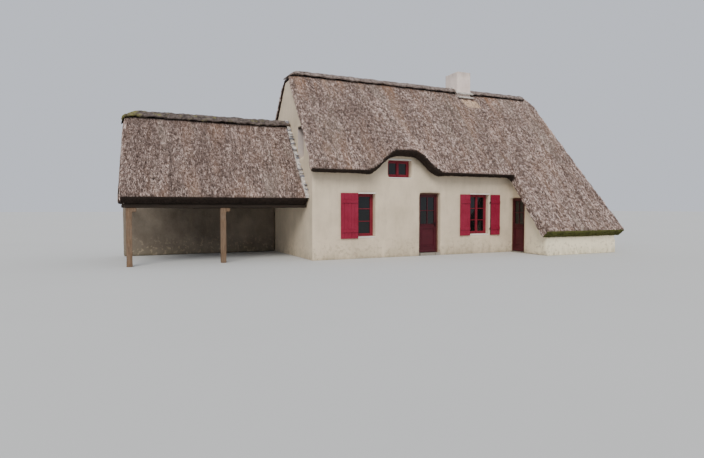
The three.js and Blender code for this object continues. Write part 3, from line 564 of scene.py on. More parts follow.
def straw_piece(called, foot, fall, up, draw, sizes, finish):
    """Joins reed stubs in one piece: each is a thin three-sided spike, buried at its top."""
    count = len(foot)
    (wide0, wide1), (long0, long1), (tall0, tall1) = sizes
    side = np.cross(up, fall)
    wide = draw.uniform(wide0, wide1, (count, 1)) / 2
    long = draw.uniform(long0, long1, (count, 1))
    tall = draw.uniform(tall0, tall1, (count, 1))
    points = np.stack((
        foot - fall * long - up * 0.008, foot - side * wide - up * 0.006,
        foot + side * wide - up * 0.006, foot + up * tall,
    ), 1).reshape(-1, 3)
    corners = 4 * np.arange(count)[:, None, None] + np.array(((1, 2, 3), (2, 1, 0), (3, 2, 0), (1, 3, 0)))
    reeds = bpy.data.meshes.new(called)
    reeds.from_pydata(points, [], corners.reshape(-1, 3).tolist())
    tone = reeds.attributes.new("reed", "FLOAT", "POINT")
    tone.data.foreach_set("value", np.repeat(draw.beta(1.3, 1.4, count), 4).astype(np.float32))
    piece = bpy.data.objects.new(called, reeds)
    bpy.context.scene.collection.objects.link(piece)
    wear(piece, finish)
    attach(piece, "root")
    return piece


def lay_reeds(called, coat_piece, down, per_metre, seed, sizes, where, finish, sheared=False):
    """Reed stubs set at random over part of a coat's skin, or sticking out of its eave."""
    draw = np.random.default_rng(seed)
    mesh = coat_piece.data
    mesh.calc_loop_triangles()
    corners = np.empty(len(mesh.loop_triangles) * 3, np.int32)
    mesh.loop_triangles.foreach_get("vertices", corners)
    a, b, c = np.moveaxis(points_of(coat_piece)[corners.reshape(-1, 3)], 1, 0)
    cross = np.cross(b - a, c - a)
    double = np.linalg.norm(cross, axis=1) + 1e-12
    normal = cross / double[:, None]
    chance = double * where((a + b + c) / 3, normal)
    count = int(chance.sum() / 2 * per_metre)
    picked = draw.choice(len(chance), count, p=chance / chance.sum())
    u, v = draw.random((2, count, 1))
    u, v = np.where(u + v > 1, 1 - u, u), np.where(u + v > 1, 1 - v, v)
    foot = a[picked] + u * (b - a)[picked] + v * (c - a)[picked]
    up = normal[picked]
    straight = np.array(down)
    on_edge = straight - up * (up @ straight)[:, None]
    fall = np.where(up[:, 2:3] > 0.25, up * up[:, 2:3] - (0, 0, 1), on_edge)
    if sheared:
        up = np.tile(np.cross((1, 0, 0), straight) * np.sign(-straight[1]), (count, 1))
        fall = np.tile(straight, (count, 1))
        foot = foot + fall * draw.uniform(0.002, 0.022, (count, 1))
    fall = fall / np.linalg.norm(fall, axis=1)[:, None]
    fall = fall + draw.normal(0, 0.13, (count, 1)) * np.cross(up, fall)
    fall /= np.linalg.norm(fall, axis=1)[:, None]
    return straw_piece(called, foot, fall, up, draw, sizes, finish)


def open_sky(middle, normal):
    """Which faces the rain falls on: the slope and its verges, but not under the ridge cap."""
    verge = (np.abs(normal[:, 0]) > 0.6) & (normal[:, 2] > -0.2)
    clear = (np.abs(middle[:, 1] - RIDGE_Y) > CAP_COVER) | (middle[:, 0] > HIP_START)
    return ((normal[:, 2] > 0.2) | verge) & clear


def off_seam(middle, normal):
    return open_sky(middle, normal) * (1 - parted(middle)) ** 2


REED_FRONT = thatch_finish("weathered_reed_front", -PITCH)
REED_REAR = thatch_finish("weathered_reed_rear", PITCH)
REED_CUT = cut_reed_finish()
TIPS_FRONT = tip_finish("reed_tips_front", -PITCH)
TIPS_REAR = tip_finish("reed_tips_rear", PITCH)
# The least and greatest width, length and height of a reed's end, and how many lie on
# each square metre of the front slopes, the rear slopes and the eaves
STUBS = ((0.010, 0.023), (0.08, 0.19), (0.005, 0.013))
ENDS = ((0.007, 0.016), (0.04, 0.08), (0.005, 0.010))
THICK, THIN, PACKED = 860, 480, 1500
SLOPES = (
    ("main_front_thatch", "front_thatch", DOWN_FRONT, REED_FRONT, TIPS_FRONT, 10, THICK, open_sky),
    ("main_rear_thatch", "rear_thatch", DOWN_REAR, REED_REAR, TIPS_REAR, 20, THIN, open_sky),
    ("shed_front_coat", "shed_front_thatch", DOWN_FRONT, REED_FRONT, TIPS_FRONT, 30, THICK, off_seam),
    ("shed_rear_coat", "shed_rear_thatch", DOWN_REAR, REED_REAR, TIPS_REAR, 40, THIN, open_sky),
)
coats = {}
for called, node, down, finish, tips, seed, per_metre, shown in SLOPES:
    coats[called] = reed_coat(called, node, down, seed, (finish, REED_CUT))
    lay_reeds(called + "_tips", coats[called], down, per_metre, seed + 5, STUBS, shown, tips)
    lay_reeds(
        called + "_eave_ends", coats[called], down, PACKED, seed + 6, ENDS,
        lambda middle, normal: normal @ np.array(down) > 0.6, REED_CUT, sheared=True,
    )

# Under the chimney the reed was made good with a patch of new straw, still pale gold
NEW_REED = new_finish("new_reed", 0.9)
own = add(NEW_REED, "Attribute", attribute_name="reed").outputs["Fac"]
coat(NEW_REED, mixed(NEW_REED, own, paint(190, 158, 128), paint(244, 220, 192)))


def under_chimney(middle, normal):
    x, y = middle.T[:2]
    slanting = np.abs(x - 4.46 + 0.5 * (y - 0.15)) < 0.36
    return (normal[:, 2] > 0.2) & slanting & (y > 0.06) & (y < 0.30)


lay_reeds(
    "new_reed_patch", coats["main_front_thatch"], DOWN_FRONT, 2600, 77, STUBS, under_chimney, NEW_REED,
)

# RIDGE CAPS
# A saddle of clay and turf over each ridge, grey and lumpy, whose lips stand clear of
# the thatch over a near-black strip, painted shade for the slot under them. It sinks at its left end.
MAIN_APEX = 6.4968
SHED_APEX = 4.7031
SLOPE = math.tan(PITCH)
CAP_HALF = 0.345
CAP_LIP = 0.170
CAP_THICK = 0.045
SHADE_STRIP_HALF = 0.25
SHADE_STRIP_LIFT = 0.02
END_ROUND = 0.55


def saddle(called, apex, top, sink, verge, right, half, lift, thick, step, rows):
    """A bent sheet over the ridge: rows run down both sides, columns along the ridge."""
    clear_selection()
    verge_x, verge_z, lean = verge
    start = verge_x + lean * (apex - verge_z) + 0.01
    columns = max(4, round((right - start) / step))
    bpy.ops.mesh.primitive_grid_add(x_subdivisions=columns, y_subdivisions=rows, size=2)
    piece = bpy.context.object
    piece.name = called
    spots = points_of(piece)
    run = spots[:, 1] * half
    aside = np.abs(run)
    turn = (apex + lift - top) * 2 / SLOPE
    over = np.where(aside < turn, top - SLOPE / (2 * turn) * aside ** 2, apex + lift - SLOPE * aside)
    x = start + (spots[:, 0] + 1) / 2 * (right - start)
    near = np.clip(1 - (x - start) / END_ROUND, 0, 1) if sink else np.zeros(len(x))
    z = np.minimum(over, top - sink * near ** 2)
    x = np.where(x < start + 0.3, x + lean * (z - apex) * (1 - (x - start) / 0.3), x)
    place_points(piece, np.column_stack((x, RIDGE_Y + run, z)))
    use_modifier(piece, "SOLIDIFY", thickness=thick, offset=-1.0)
    return piece


def cap_finish(name, moss_share):
    """Sun-dried clay, grey with a pink cast, blotched by lichen, and moss where it stays damp."""
    finish = new_finish(name, 0.95)
    place = place_in(finish)
    dim = 1 - 0.24 * moss_share
    clay, dark_clay = paint(152 * dim, 136 * dim, 129 * dim), paint(88 * dim, 76 * dim, 70 * dim)
    colour = mixed(finish, cloud(finish, place, 0.12, 0.4, 0.6, 6.0, 0.7), clay, dark_clay)
    pale = cloud(finish, place, 0.05, 0.55, 0.7, 5.0, 0.7)
    colour = mixed(finish, pale, colour, paint(186 * dim, 174 * dim, 158 * dim))
    cracks = cloud(finish, place_in(finish, (1, 0.5, 0.5)), 0.08, 0.56, 0.64, 8.0, 0.75)
    colour = stained(finish, colour, cracks, 0.8, (52, 43, 38))
    along = add(finish, "SeparateXYZ", {0: place}).outputs["X"]
    shed_end = mapped(finish, along, -7.3, -8.25, 0.0, 0.2)
    spores = add(finish, "TexNoise", {"Vector": place, "Scale": 5.0, "Detail": 6.0, "Roughness": 0.7})
    moss = weighed(finish, (spores.outputs["Fac"], 1.0), (shed_end, 1.0), (moss_share, 0.04))
    grown = mapped(finish, moss, 0.6, 0.72)
    colour = stained(finish, colour, grown, 0.3 + 0.4 * moss_share, (132, 130, 66))
    lumpy = cloud(finish, place, 0.05, 0.2, 0.8, 5.0, 0.7)
    return coat(finish, colour, ((lumpy, 0.02), (cracks, -0.008)))


# The strip under the lips is near black: painted shade, for the shade in the slot under the cap
SHADE_STRIP = new_finish("old_ridge_felt", 0.95)
folds = cloud(SHADE_STRIP, place_in(SHADE_STRIP), 0.08, 0.3, 0.7)
coat(SHADE_STRIP, mixed(SHADE_STRIP, folds, paint(9, 8, 8), paint(24, 21, 20)), ((folds, 0.006),))
MAIN_VERGE = (-3.098, 2.98, 0.028)
SHED_VERGE = (-8.438, 1.94, 0.075)
CAPS = (
    ("ridge_cap_left", MAIN_APEX, 6.405, 0.235, MAIN_VERGE, 3.940, 0.0),
    ("ridge_cap_right", MAIN_APEX, 6.405, 0.0, (4.583, 6.4, 0), 7.42, 0.0),
    ("shed_ridge_cap", SHED_APEX, 4.635, 0.285, SHED_VERGE, -2.985, 1.0),
)
for seed, (node, apex, top, sink, verge, right, moss_share) in enumerate(CAPS, 50):
    clay = saddle(node + "_clay", apex, top, sink, verge, right, CAP_HALF, CAP_LIP, CAP_THICK, 0.042, 28)
    spots, facing = points_of(clay), normals_of(clay)
    rough = 1 + 0.5 * moss_share
    depth = 0.020 * lumps(spots, 0.3, seed) + 0.014 * rough * lumps(spots, 0.12, seed + 10)
    depth += 0.009 * rough * lumps(spots, 0.06, seed + 20)
    lip = np.clip((np.abs(spots[:, 1] - RIDGE_Y) - CAP_HALF + 0.09) / 0.08, 0, 1)
    ragged = 0.030 * lumps(spots, (0.26, 9, 9), seed + 30) + 0.014 * lumps(spots, (0.08, 9, 9), seed + 40)
    spots[:, 2] += lip * ragged * rough
    place_points(clay, spots + facing * depth[:, None])
    take_up(clay)
    bpy.ops.object.shade_smooth()
    wear(clay, cap_finish(node + "_clay", moss_share))
    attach(clay, "root")
    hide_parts(node)
    shade_strip = saddle(
        node + "_felt", apex, top - 0.11, sink, verge, right - 0.02, SHADE_STRIP_HALF, SHADE_STRIP_LIFT, 0.02, 0.15, 8,
    )
    wear(shade_strip, SHADE_STRIP)
    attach(shade_strip, "root")

# CHIMNEY
# A plain square stack of stone, rendered pale, with its flue open at the top. Lime
# mortar is packed round its foot in two steps, with the dark joint of the cap between.
def roughen(piece, *waves, lift=0.0):
    """Lets the faces wander in waves of (height, size, seed), and lifts them as a whole."""
    spots = points_of(piece)
    push_out(piece, sum(height * lumps(spots, size, seed) for height, size, seed in waves) + lift)


low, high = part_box("chimney_stack")
stack = copy_of("chimney", "chimney_stack")
cast(stack, 0.036)
roughen(stack, (0.006, 0.3, 61), (0.004, 0.09, 62), lift=-0.002)
thin_out(stack, face_table(stack)[0][:, 2] < 5.5, 0.08)
take_up(stack)
bpy.ops.object.shade_smooth()
wear(stack, lime_render("chimney_render", (246, 230, 218), (224, 206, 196), ground_dirt=0.0))
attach(stack, "root")
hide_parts("chimney_stack")


def turn_points(spots, turn, about):
    """Points turned about one of them by an Euler turn."""
    turned = np.array(Euler(turn).to_matrix())
    return (spots - np.array(about)) @ turned.T + np.array(about)


def solid_bar(called, low, high, eased=0.004, segments=2, turn=None):
    """A sawn or cast bar between two corners, with eased arrises, turned about its middle."""
    bar = blank(called, low, high)
    edit()
    bpy.ops.mesh.bevel(offset=eased, segments=segments, affect="EDGES")
    leave_edit()
    if turn:
        place_points(bar, turn_points(points_of(bar), turn, (Vector(low) + Vector(high)) / 2))
    return bar


def on_thatch(apex, y, proud):
    """The height of a slope at a place across the house, and so much above it."""
    return apex + proud - SLOPE * abs(y - RIDGE_Y)


# Two beds along the foot in front and two behind, and one up each slope at either side
beds = []
for side, face in ((-1, low.y), (1, high.y)):
    tilt = (-side * PITCH * 0.55, 0, 0)
    for out, tall, proud, over in ((0.035, 0.055, 0.17, 0.05), (0.09, 0.04, 0.075, 0.02)):
        y = face + side * out
        z = on_thatch(MAIN_APEX, y, proud)
        beds.append(solid_bar(
            "bed", (low.x - over, y - 0.06, z - tall / 2), (high.x + over + 0.04, y + 0.06, z + tall / 2),
            turn=tilt,
        ))
    for x in (low.x, high.x):
        middle = (face + RIDGE_Y) / 2
        z = (on_thatch(MAIN_APEX, face, CAP_LIP) + 6.44) / 2
        reach = abs(face - RIDGE_Y) / 2 + 0.03
        beds.append(solid_bar(
            "bed", (x - 0.045, middle - reach, z - 0.02), (x + 0.045, middle + reach, z + 0.035),
            turn=(-side * 0.62, 0, 0),
        ))
skirt = joined("chimney_mortar", beds)
cast(skirt, 0.015)
roughen(skirt, (0.010, 0.11, 64), (0.006, 0.04, 65))
MORTAR = new_finish("lime_mortar", 0.9)
dabs = cloud(MORTAR, place_in(MORTAR), 0.07, 0.35, 0.65, 5.0)
colour = mixed(MORTAR, dabs, paint(230, 224, 214), paint(178, 168, 160))
dirty = cloud(MORTAR, place_in(MORTAR), 0.12, 0.5, 0.66, 7.0, 0.7)
coat(MORTAR, stained(MORTAR, colour, dirty, 0.6, (84, 76, 68)), ((dabs, 0.01),))
wear(skirt, MORTAR)
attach(skirt, "root")

# SHED ROOF FLASHING
# Flakes of blue-grey slate stepped down the gable in a thick fillet of lime mortar,
# which sheds the rain from the joint between the shed's thatch and the wall.
DOLLOP_BACK, FLAKE_BACK, FILLET_BACK = -2.962, -2.975, -2.955
UNDER_CAP, AT_EAVE = 0.24, 2.12
draw = np.random.default_rng(72)
dollops, flakes = [copy_of("flashing_mortar", "shed_roof_flashing")], []
for side in (-1, 1):
    run = UNDER_CAP
    while run < AT_EAVE:
        y = RIDGE_Y + side * run
        z = on_thatch(SHED_APEX, y, 0.10)
        wide, long = draw.uniform(0.07, 0.17, 2)
        tilt = (-side * draw.uniform(0.2, 0.9), draw.uniform(-0.3, 0.3), draw.uniform(-0.4, 0.4))
        dollops.append(solid_bar(
            "dollop", (DOLLOP_BACK - wide, y - long / 2, z - 0.035),
            (DOLLOP_BACK, y + long / 2, z + 0.03), 0.012, turn=tilt,
        ))
        wide, long = draw.uniform(0.09, 0.16), draw.uniform(0.08, 0.17)
        y += side * draw.uniform(-0.03, 0.05)
        z = on_thatch(SHED_APEX, y, draw.uniform(0.12, 0.15))
        tilt = (-side * draw.uniform(0.3, 0.9), draw.uniform(-0.25, 0.1), draw.uniform(-0.35, 0.35))
        flakes.append(solid_bar(
            "flake", (FLAKE_BACK - wide, y - long / 2, z - 0.006),
            (FLAKE_BACK, y + long / 2, z + 0.006), 0.003, 1, tilt,
        ))
        run += draw.uniform(0.08, 0.17)
fillet = joined("flashing_mortar", dollops)
cast(fillet, 0.018)
roughen(fillet, (0.010, 0.13, 70), (0.006, 0.05, 71))
spots = points_of(fillet)
spots[:, 0] = np.minimum(spots[:, 0], FILLET_BACK)
place_points(fillet, spots)
wear(fillet, MORTAR)
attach(fillet, "root")
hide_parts("shed_roof_flashing")

slate_finish = new_finish("flashing_slate", 0.6)
riven = cloud(slate_finish, place_in(slate_finish, (1, 0.4, 0.4)), 0.05, 0.3, 0.7, 6.0)
colour = mixed(slate_finish, riven, paint(74, 78, 88), paint(136, 134, 138))
coat(slate_finish, colour, ((riven, 0.003),))
slates = joined("flashing_slates", flakes, slate_finish)
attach(slates, "root")

# SHED TIMBERS
# Oak posts with short bolsters, wall plates and pegged trusses, hewn square and
# weathered grey. The arrises are worn and the faces keep their adze marks.


def oak_finish(name, scale, dim=1.0):
    """Silvered oak. The scale stretches its grain along the timber, and dim darkens it."""
    finish = new_finish(name, 0.85)
    place = place_in(finish)
    grained = place_in(finish, scale)
    fibres = cloud(finish, grained, 0.02, 0.3, 0.7, 6.0, 0.65)
    pale, deep = paint(134 * dim, 108 * dim, 84 * dim), paint(84 * dim, 66 * dim, 51 * dim)
    colour = mixed(finish, fibres, pale, deep)
    silver = cloud(finish, place, 0.4, 0.4, 0.65, 4.0)
    colour = stained(finish, colour, silver, 0.3, (138 * dim, 122 * dim, 108 * dim))
    shakes = cloud(finish, grained, 0.045, 0.62, 0.68, 8.0, 0.8)
    colour = mixed(finish, shakes, colour, paint(42, 33, 26))
    return coat(finish, colour, ((fibres, 0.003), (shakes, -0.006)))


OAK_UP = oak_finish("oak_upright", (1, 1, 0.06))
# The plates, fillets and trusses are painted darker, as the shade under the shed's roof
OAK_LONG = oak_finish("oak_along_house_painted_shade", (0.06, 1, 1), 0.42)
OAK_TRUSS = oak_finish("oak_truss_painted_shade", (1, 0.1, 0.16), 0.55)
TIMBERS = (
    ("shed_post_left", OAK_UP), ("shed_post_middle", OAK_UP),
    ("shed_front_plate", OAK_LONG), ("shed_rear_plate", OAK_LONG),
    ("shed_truss_left", OAK_TRUSS), ("shed_truss_middle", OAK_TRUSS),
)
for seed, (node, finish) in enumerate(TIMBERS, 80):
    hewn = copy_of(node.replace("shed_", "shed_hewn_"), node)
    cast(hewn, 0.022)
    roughen(hewn, (0.006, 0.22, seed), (0.003, 0.06, seed + 10), lift=-0.002)
    wear(hewn, finish)
    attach(hewn, "root")
    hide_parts(node)

# A tilting fillet on each plate closes the gap under the reed and tips the eave up
fillets = joined("shed_tilting_fillets", [
    solid_bar("fillet", (-8.262, y, 1.744), (-2.980, y + 0.112, 1.800), 0.006) for y in (2.600, -1.142)
])
cast(fillets, 0.022)
roughen(fillets, (0.005, 0.2, 96), lift=-0.001)
wear(fillets, OAK_LONG)
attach(fillets, "root")

# WINDOWS
# Small-paned casements of pine, painted dark red, set back in the plaster reveals.
# Each is a frame with one or two sashes, of stiles, rails and thin glazing bars.
EDGE, STILE, BAR, DEEP = 0.055, 0.050, 0.026, 0.060
SASH_FACE, SASH_BACK = 0.005, 0.030
FRONT_FRAME_Y, REAR_FRAME_Y = -1.485, 3.055


def gloss_paint(name, fresh, faded, roughness=0.5):
    """Oil paint on pine, faded and a little chalky, with the grain just showing through."""
    finish = new_finish(name, roughness)
    place = place_in(finish)
    upright = place_in(finish, (1, 1, 0.08))
    colour = mixed(finish, cloud(finish, place, 0.35, 0.35, 0.7, 5.0), paint(*fresh), paint(*faded))
    grain = cloud(finish, upright, 0.012, 0.3, 0.7, 5.0)
    colour = mixed(finish, times(finish, grain, 0.22), colour, paint(*[0.5 * v for v in fresh]))
    chips = cloud(finish, place, 0.03, 0.72, 0.76, 8.0, 0.75)
    colour = stained(finish, colour, chips, 0.6, (120, 96, 80))
    return coat(finish, colour, ((grain, 0.0012),))


WINDOW_RED = gloss_paint("window_red", (118, 20, 38), (132, 36, 50))
# The glass is near black and lets little through: painted shade, for the dark rooms behind it
GLASS = new_finish("old_window_glass", 0.05)
glaze = GLASS.node_tree.nodes["Principled BSDF"]
glaze.inputs["Specular IOR Level"].default_value = 0.4
glaze.inputs["Transmission Weight"].default_value = 0.3
wavy = cloud(GLASS, place_in(GLASS, (1, 1, 0.4)), 0.3, 0.2, 0.8, 0.0)
coat(GLASS, mixed(GLASS, wavy, paint(14, 16, 17), paint(22, 25, 25)), ((wavy, 0.001),))
# Its left and right side, foot and head; -1 in front and 1 behind; leaves, and panes high
WINDOWS = (
    ("left_window", -1.408, -0.788, 0.70, 2.10, -1, 1, 3),
    ("right_window", 2.992, 3.852, 0.69, 2.12, -1, 2, 3),
    ("loft_window", -0.308, 0.572, 2.64, 3.22, -1, 2, 1),
    ("rear_right_window", -1.528, -0.668, 0.69, 2.12, 1, 2, 3),
    ("rear_left_window", 2.992, 3.852, 0.69, 2.12, 1, 2, 3),
)
for name, x0, x1, z0, z1, side, leaves, rows in WINDOWS:
    outer = FRONT_FRAME_Y if side < 0 else REAR_FRAME_Y

    def member(xa, xb, za, zb, near, far, eased=0.004):
        y0, y1 = sorted((outer - side * near, outer - side * far))
        return solid_bar("member", (xa, y0, za), (xb, y1, zb), eased)

    parts = [
        member(x0, x0 + EDGE, z0, z1, 0, DEEP), member(x1 - EDGE, x1, z0, z1, 0, DEEP),
        member(x0 + EDGE, x1 - EDGE, z0, z0 + EDGE, 0.001, DEEP),
        member(x0 + EDGE, x1 - EDGE, z1 - EDGE, z1, 0.001, DEEP),
    ]
    leaf_wide = (x1 - x0 - 2 * EDGE) / leaves
    low, top = z0 + EDGE, z1 - EDGE
    pane = (top - low - 2 * STILE - (rows - 1) * BAR) / rows
    for leaf in range(leaves):
        left = x0 + EDGE + leaf * leaf_wide
        right = left + leaf_wide
        parts += [
            member(left + 0.001, left + STILE, low, top, SASH_FACE, SASH_BACK),
            member(right - STILE, right - 0.001, low, top, SASH_FACE, SASH_BACK),
            member(left + STILE, right - STILE, low, low + STILE, SASH_FACE + 0.001, SASH_BACK),
            member(left + STILE, right - STILE, top - STILE, top, SASH_FACE + 0.001, SASH_BACK),
        ]
        for row in range(1, rows):
            z = low + STILE + row * pane + (row - 1) * BAR
            parts.append(member(left + STILE, right - STILE, z, z + BAR, SASH_FACE + 0.004, SASH_BACK, 0.007))
    if leaves == 2:
        middle = (x0 + x1) / 2
        parts.append(member(middle - 0.022, middle + 0.022, low, top, -0.012, 0.006, 0.006))
    casement = joined(name + "_casements", parts, WINDOW_RED)
    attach(casement, "root")
    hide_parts(name + "_frame")
    frame["nodes"][name + "_glass"].data.materials[0] = GLASS

# WINDOW SILLS AND LINTELS
# Whitewashed stone sills that fall outwards, and the white strip of each lintel. They
# stay inside the reveals, so that the shutters close over them.
SILL_WHITE = lime_render("whitewashed_stone", (240, 236, 226), (216, 211, 200), ground_dirt=0.0)
for name, x0, x1, bottom, top, side, leaves, rows in WINDOWS:
    outer, frame_y = (FRONT_FACE, FRONT_FRAME_Y) if side < 0 else (REAR_FACE, REAR_FRAME_Y)
    inner = frame_y + side * 0.002
    y0, y1 = sorted((outer - side * 0.001, inner))
    sill = solid_bar(name + "_sill", (x0, y0, bottom - 0.03), (x1, y1, bottom + 0.014), 0.006)
    spots = points_of(sill)
    fall = (spots[:, 1] - inner) / (outer - inner)
    spots[:, 2] -= np.where(spots[:, 2] > bottom - 0.01, 0.018 * fall, 0)
    place_points(sill, spots)
    head = solid_bar(name + "_lintel", (x0, y0, top - 0.012), (x1, y1, top + 0.03), 0.005)
    for piece in (sill, head):
        wear(piece, SILL_WHITE)
        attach(piece, "root")

# ATTIC HATCH
# A loading hatch of four rough oak boards, set deep in the gable above the shed roof.
# Each board was split and planed, and two ledges hold them at the back.
hatch_low, hatch_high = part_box("attic_hatch")
PLANKS = 4
wide = (hatch_high.y - hatch_low.y) / PLANKS
planks = []
for i in range(PLANKS):
    y = hatch_low.y + i * wide
    planks.append(solid_bar(
        "plank", (hatch_low.x, y + 0.002, hatch_low.z), (hatch_low.x + 0.03, y + wide - 0.002, hatch_high.z),
    ))
for z in (hatch_low.z + 0.15, hatch_high.z - 0.15):
    planks.append(solid_bar(
        "ledge", (hatch_low.x + 0.028, hatch_low.y + 0.02, z - 0.05),
        (hatch_high.x, hatch_high.y - 0.02, z + 0.05),
    ))
hatch = joined("attic_hatch_boards", planks, OAK_UP)
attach(hatch, "root")
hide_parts("attic_hatch")

# A rough oak board carries the stones over the opening; its dark oak is painted shade, for the shade at the
# opening's head
lintel = solid_bar("attic_lintel", (-2.955, -0.880, 4.212), (-2.600, -0.306, 4.262), 0.006)
use_modifier(lintel, "SUBSURF", subdivision_type="SIMPLE", levels=3, render_levels=3)
roughen(lintel, (0.005, 0.11, 97), lift=-0.002)
wear(lintel, OAK_TRUSS)
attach(lintel, "root")

# DOORS
# Half-glazed doors of painted pine: stiles and rails round a sunk panel below and four
# panes above, with a weatherboard at the foot. They hang inwards on iron hinges.
DOOR_RED = gloss_paint("door_maroon", (66, 14, 24), (80, 20, 32))
JAMB_BROWN = gloss_paint("door_frame_brown", (84, 42, 38), (100, 62, 52), 0.6)
IRON = new_finish("blackened_iron", 0.45)
rust = cloud(IRON, place_in(IRON), 0.02, 0.55, 0.7, 6.0)
coat(IRON, mixed(IRON, rust, paint(26, 25, 25), paint(66, 44, 34)), ((rust, 0.0008),))
IRON.node_tree.nodes["Principled BSDF"].inputs["Metallic"].default_value = 0.6
# From the front of the frame to the leaf's face and back, and the gap under the leaf
LEAF_FACE, LEAF_BACK, LEAF_FOOT = 0.026, 0.066, 0.008
HALF_BAR = 0.013
STOP_LIP, LIP_OVER = 0.020, 0.012


def trimmed_copy(called, node, point, away):
    """The part of a CAD solid on one side of a plane."""
    piece = copy_of(called, node)
    edit()
    bpy.ops.mesh.bisect(plane_co=point, plane_no=away, clear_outer=True, use_fill=True)
    leave_edit()
    return piece


def round_pin(sides, radius, long, at, lying=True):
    """A round iron pin about its middle, lying front to back or standing up."""
    clear_selection()
    bpy.ops.mesh.primitive_cylinder_add(
        vertices=sides, radius=radius, depth=long, location=at, rotation=(math.pi / 2 if lying else 0, 0, 0),
    )
    bpy.ops.object.transform_apply(location=True, rotation=True, scale=True)
    return bpy.context.object


# Half the leaf's width, its top, its stile, the rail under the glass; half the frame's
# width, its height and its jamb; where the frame stands, its turn and where it looks
DOORS = (
    (
        "front_door", 0.357, 1.988, 0.080, 0.990, 0.416, 2.047, 0.065,
        (1.326, -1.505, 0.09), 0.0, (0, -1, 0),
    ),
    (
        "store_door", 0.281, 1.906, 0.065, 1.005, 0.320, 1.945, 0.045,
        (4.922, -2.005, 0.04), -math.pi / 2, (-1, 0, 0),
    ),
)
for name, half, top, stile, rail, wide, tall, jamb, stand, turn, outwards in DOORS:
    def part(xa, xb, za, zb, near=0.0, far=LEAF_BACK - LEAF_FACE, eased=0.004):
        """A bar of the leaf. Near and far are measured inwards from the leaf's face."""
        return solid_bar("part", (xa, LEAF_FACE + near, za), (xb, LEAF_FACE + far, zb), eased)

    sight = half - stile
    glass_top = top - stile
    middle = (rail + glass_top) / 2
    panel_low, panel_top = 0.21, rail - 0.16
    wood = [
        part(-half, -sight, LEAF_FOOT, top), part(sight, half, LEAF_FOOT, top),
        part(-sight, sight, glass_top, top, 0.001), part(-sight, sight, panel_top, rail, 0.001),
        part(-sight, sight, LEAF_FOOT, panel_low, 0.001),
        part(-sight - 0.01, sight + 0.01, panel_low - 0.01, panel_top + 0.01, 0.016, 0.030),
        part(-sight + 0.05, sight - 0.05, panel_low + 0.05, panel_top - 0.05, 0.008, 0.020, 0.008),
        part(-HALF_BAR, HALF_BAR, rail, glass_top, 0.003, 0.022, 0.006),
    ]
    for xa, xb in ((-sight, -HALF_BAR), (HALF_BAR, sight)):
        wood.append(part(xa, xb, middle - HALF_BAR, middle + HALF_BAR, 0.004, 0.022, 0.006))
    # Three mouldings under the glass, and a bead round the panel
    for drop, thick, proud in ((0.016, 0.018, 0.012), (0.048, 0.012, 0.008), (0.125, 0.010, 0.006)):
        low, high = rail - drop - thick / 2, rail - drop + thick / 2
        wood.append(part(-sight - 0.02, sight + 0.02, low, high, -proud, 0.004, 0.003))
    for x in (-sight, sight):
        wood.append(part(x - 0.006, x + 0.006, panel_low, panel_top, -0.004, 0.016, 0.003))
    for z in (panel_low, panel_top):
        wood.append(part(-sight, sight, z - 0.006, z + 0.006, -0.004, 0.016, 0.003))
    # The weatherboard's top slopes, so that the rain runs off it
    board = part(-half + 0.03, half - 0.03, 0.022, 0.100, -0.034, 0.002)
    spots = points_of(board)
    sloped = (spots[:, 2] > 0.06) & (spots[:, 1] < LEAF_FACE - 0.01)
    spots[:, 1] = np.where(sloped, LEAF_FACE - 0.006, spots[:, 1])
    place_points(board, spots)
    leaf = joined(name + "_painted_leaf", wood + [board], DOOR_RED)
    grip = half - 0.04
    plate = part(grip - 0.016, grip + 0.016, rail - 0.10, rail + 0.06, -0.004, 0.002, 0.0015)
    stem = round_pin(20, 0.008, 0.05, (grip, LEAF_FACE - 0.025, rail))
    lever = part(grip - 0.1, grip + 0.01, rail - 0.008, rail + 0.008, -0.054, -0.042)
    handle = joined(name + "_handle", [plate, stem, lever], IRON)
    light = wide - jamb
    over = light + LIP_OVER
    casing = joined(name + "_casing", [
        solid_bar("part", (xa, near, za), (xb, far, tall)) for xa, xb, za, near, far in (
            (-wide, -light, 0, 0, STOP_LIP), (light, wide, 0, 0, STOP_LIP),
            (-light, light, tall - jamb, 0.0005, STOP_LIP),
            (-wide, -over, 0, STOP_LIP - 0.002, LEAF_BACK), (over, wide, 0, STOP_LIP - 0.002, LEAF_BACK),
            (-over, over, tall - jamb + LIP_OVER, STOP_LIP - 0.002, LEAF_BACK - 0.0005),
        )
    ], JAMB_BROWN)
    for piece in (leaf, handle, casing):
        place_points(piece, turn_points(points_of(piece), (0, 0, turn), (0, 0, 0)) + np.array(stand))
    back = Vector(stand) - Vector(outwards) * (LEAF_BACK - 0.0005)
    hinges = trimmed_copy(name + "_hinges", name + "_leaf", back, outwards)
    pins = trimmed_copy(name + "_hinge_pins", name + "_frame", back, outwards)
    for piece in (hinges, pins):
        wear(piece, IRON)
    for piece in (leaf, handle, hinges):
        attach(piece, name)
    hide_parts(name + "_leaf")
    for piece in (casing, pins):
        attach(piece, "root")
    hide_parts(name + "_frame")
    frame["nodes"][name + "_glass"].data.materials[0] = GLASS

# SHUTTERS
# Ledged shutters of crimson boards, tongued together with V joints, nailed to two
# battens and hung by eyes on iron pintles let into the wall.
SHUTTER_RED = gloss_paint("shutter_crimson", (136, 18, 48), (150, 34, 62), 0.48)
SHUTTER_FACE, SHUTTER_BACK = -1.730, -1.700
SHUTTER_LOW, SHUTTER_TOP = 0.655, 2.105
BATTENS, BATTEN_HALF, BATTEN_PROUD = (0.897, 1.835), 0.0475, 0.025
PINTLE_Y, PINTLE_RADIUS = -1.71, 0.008
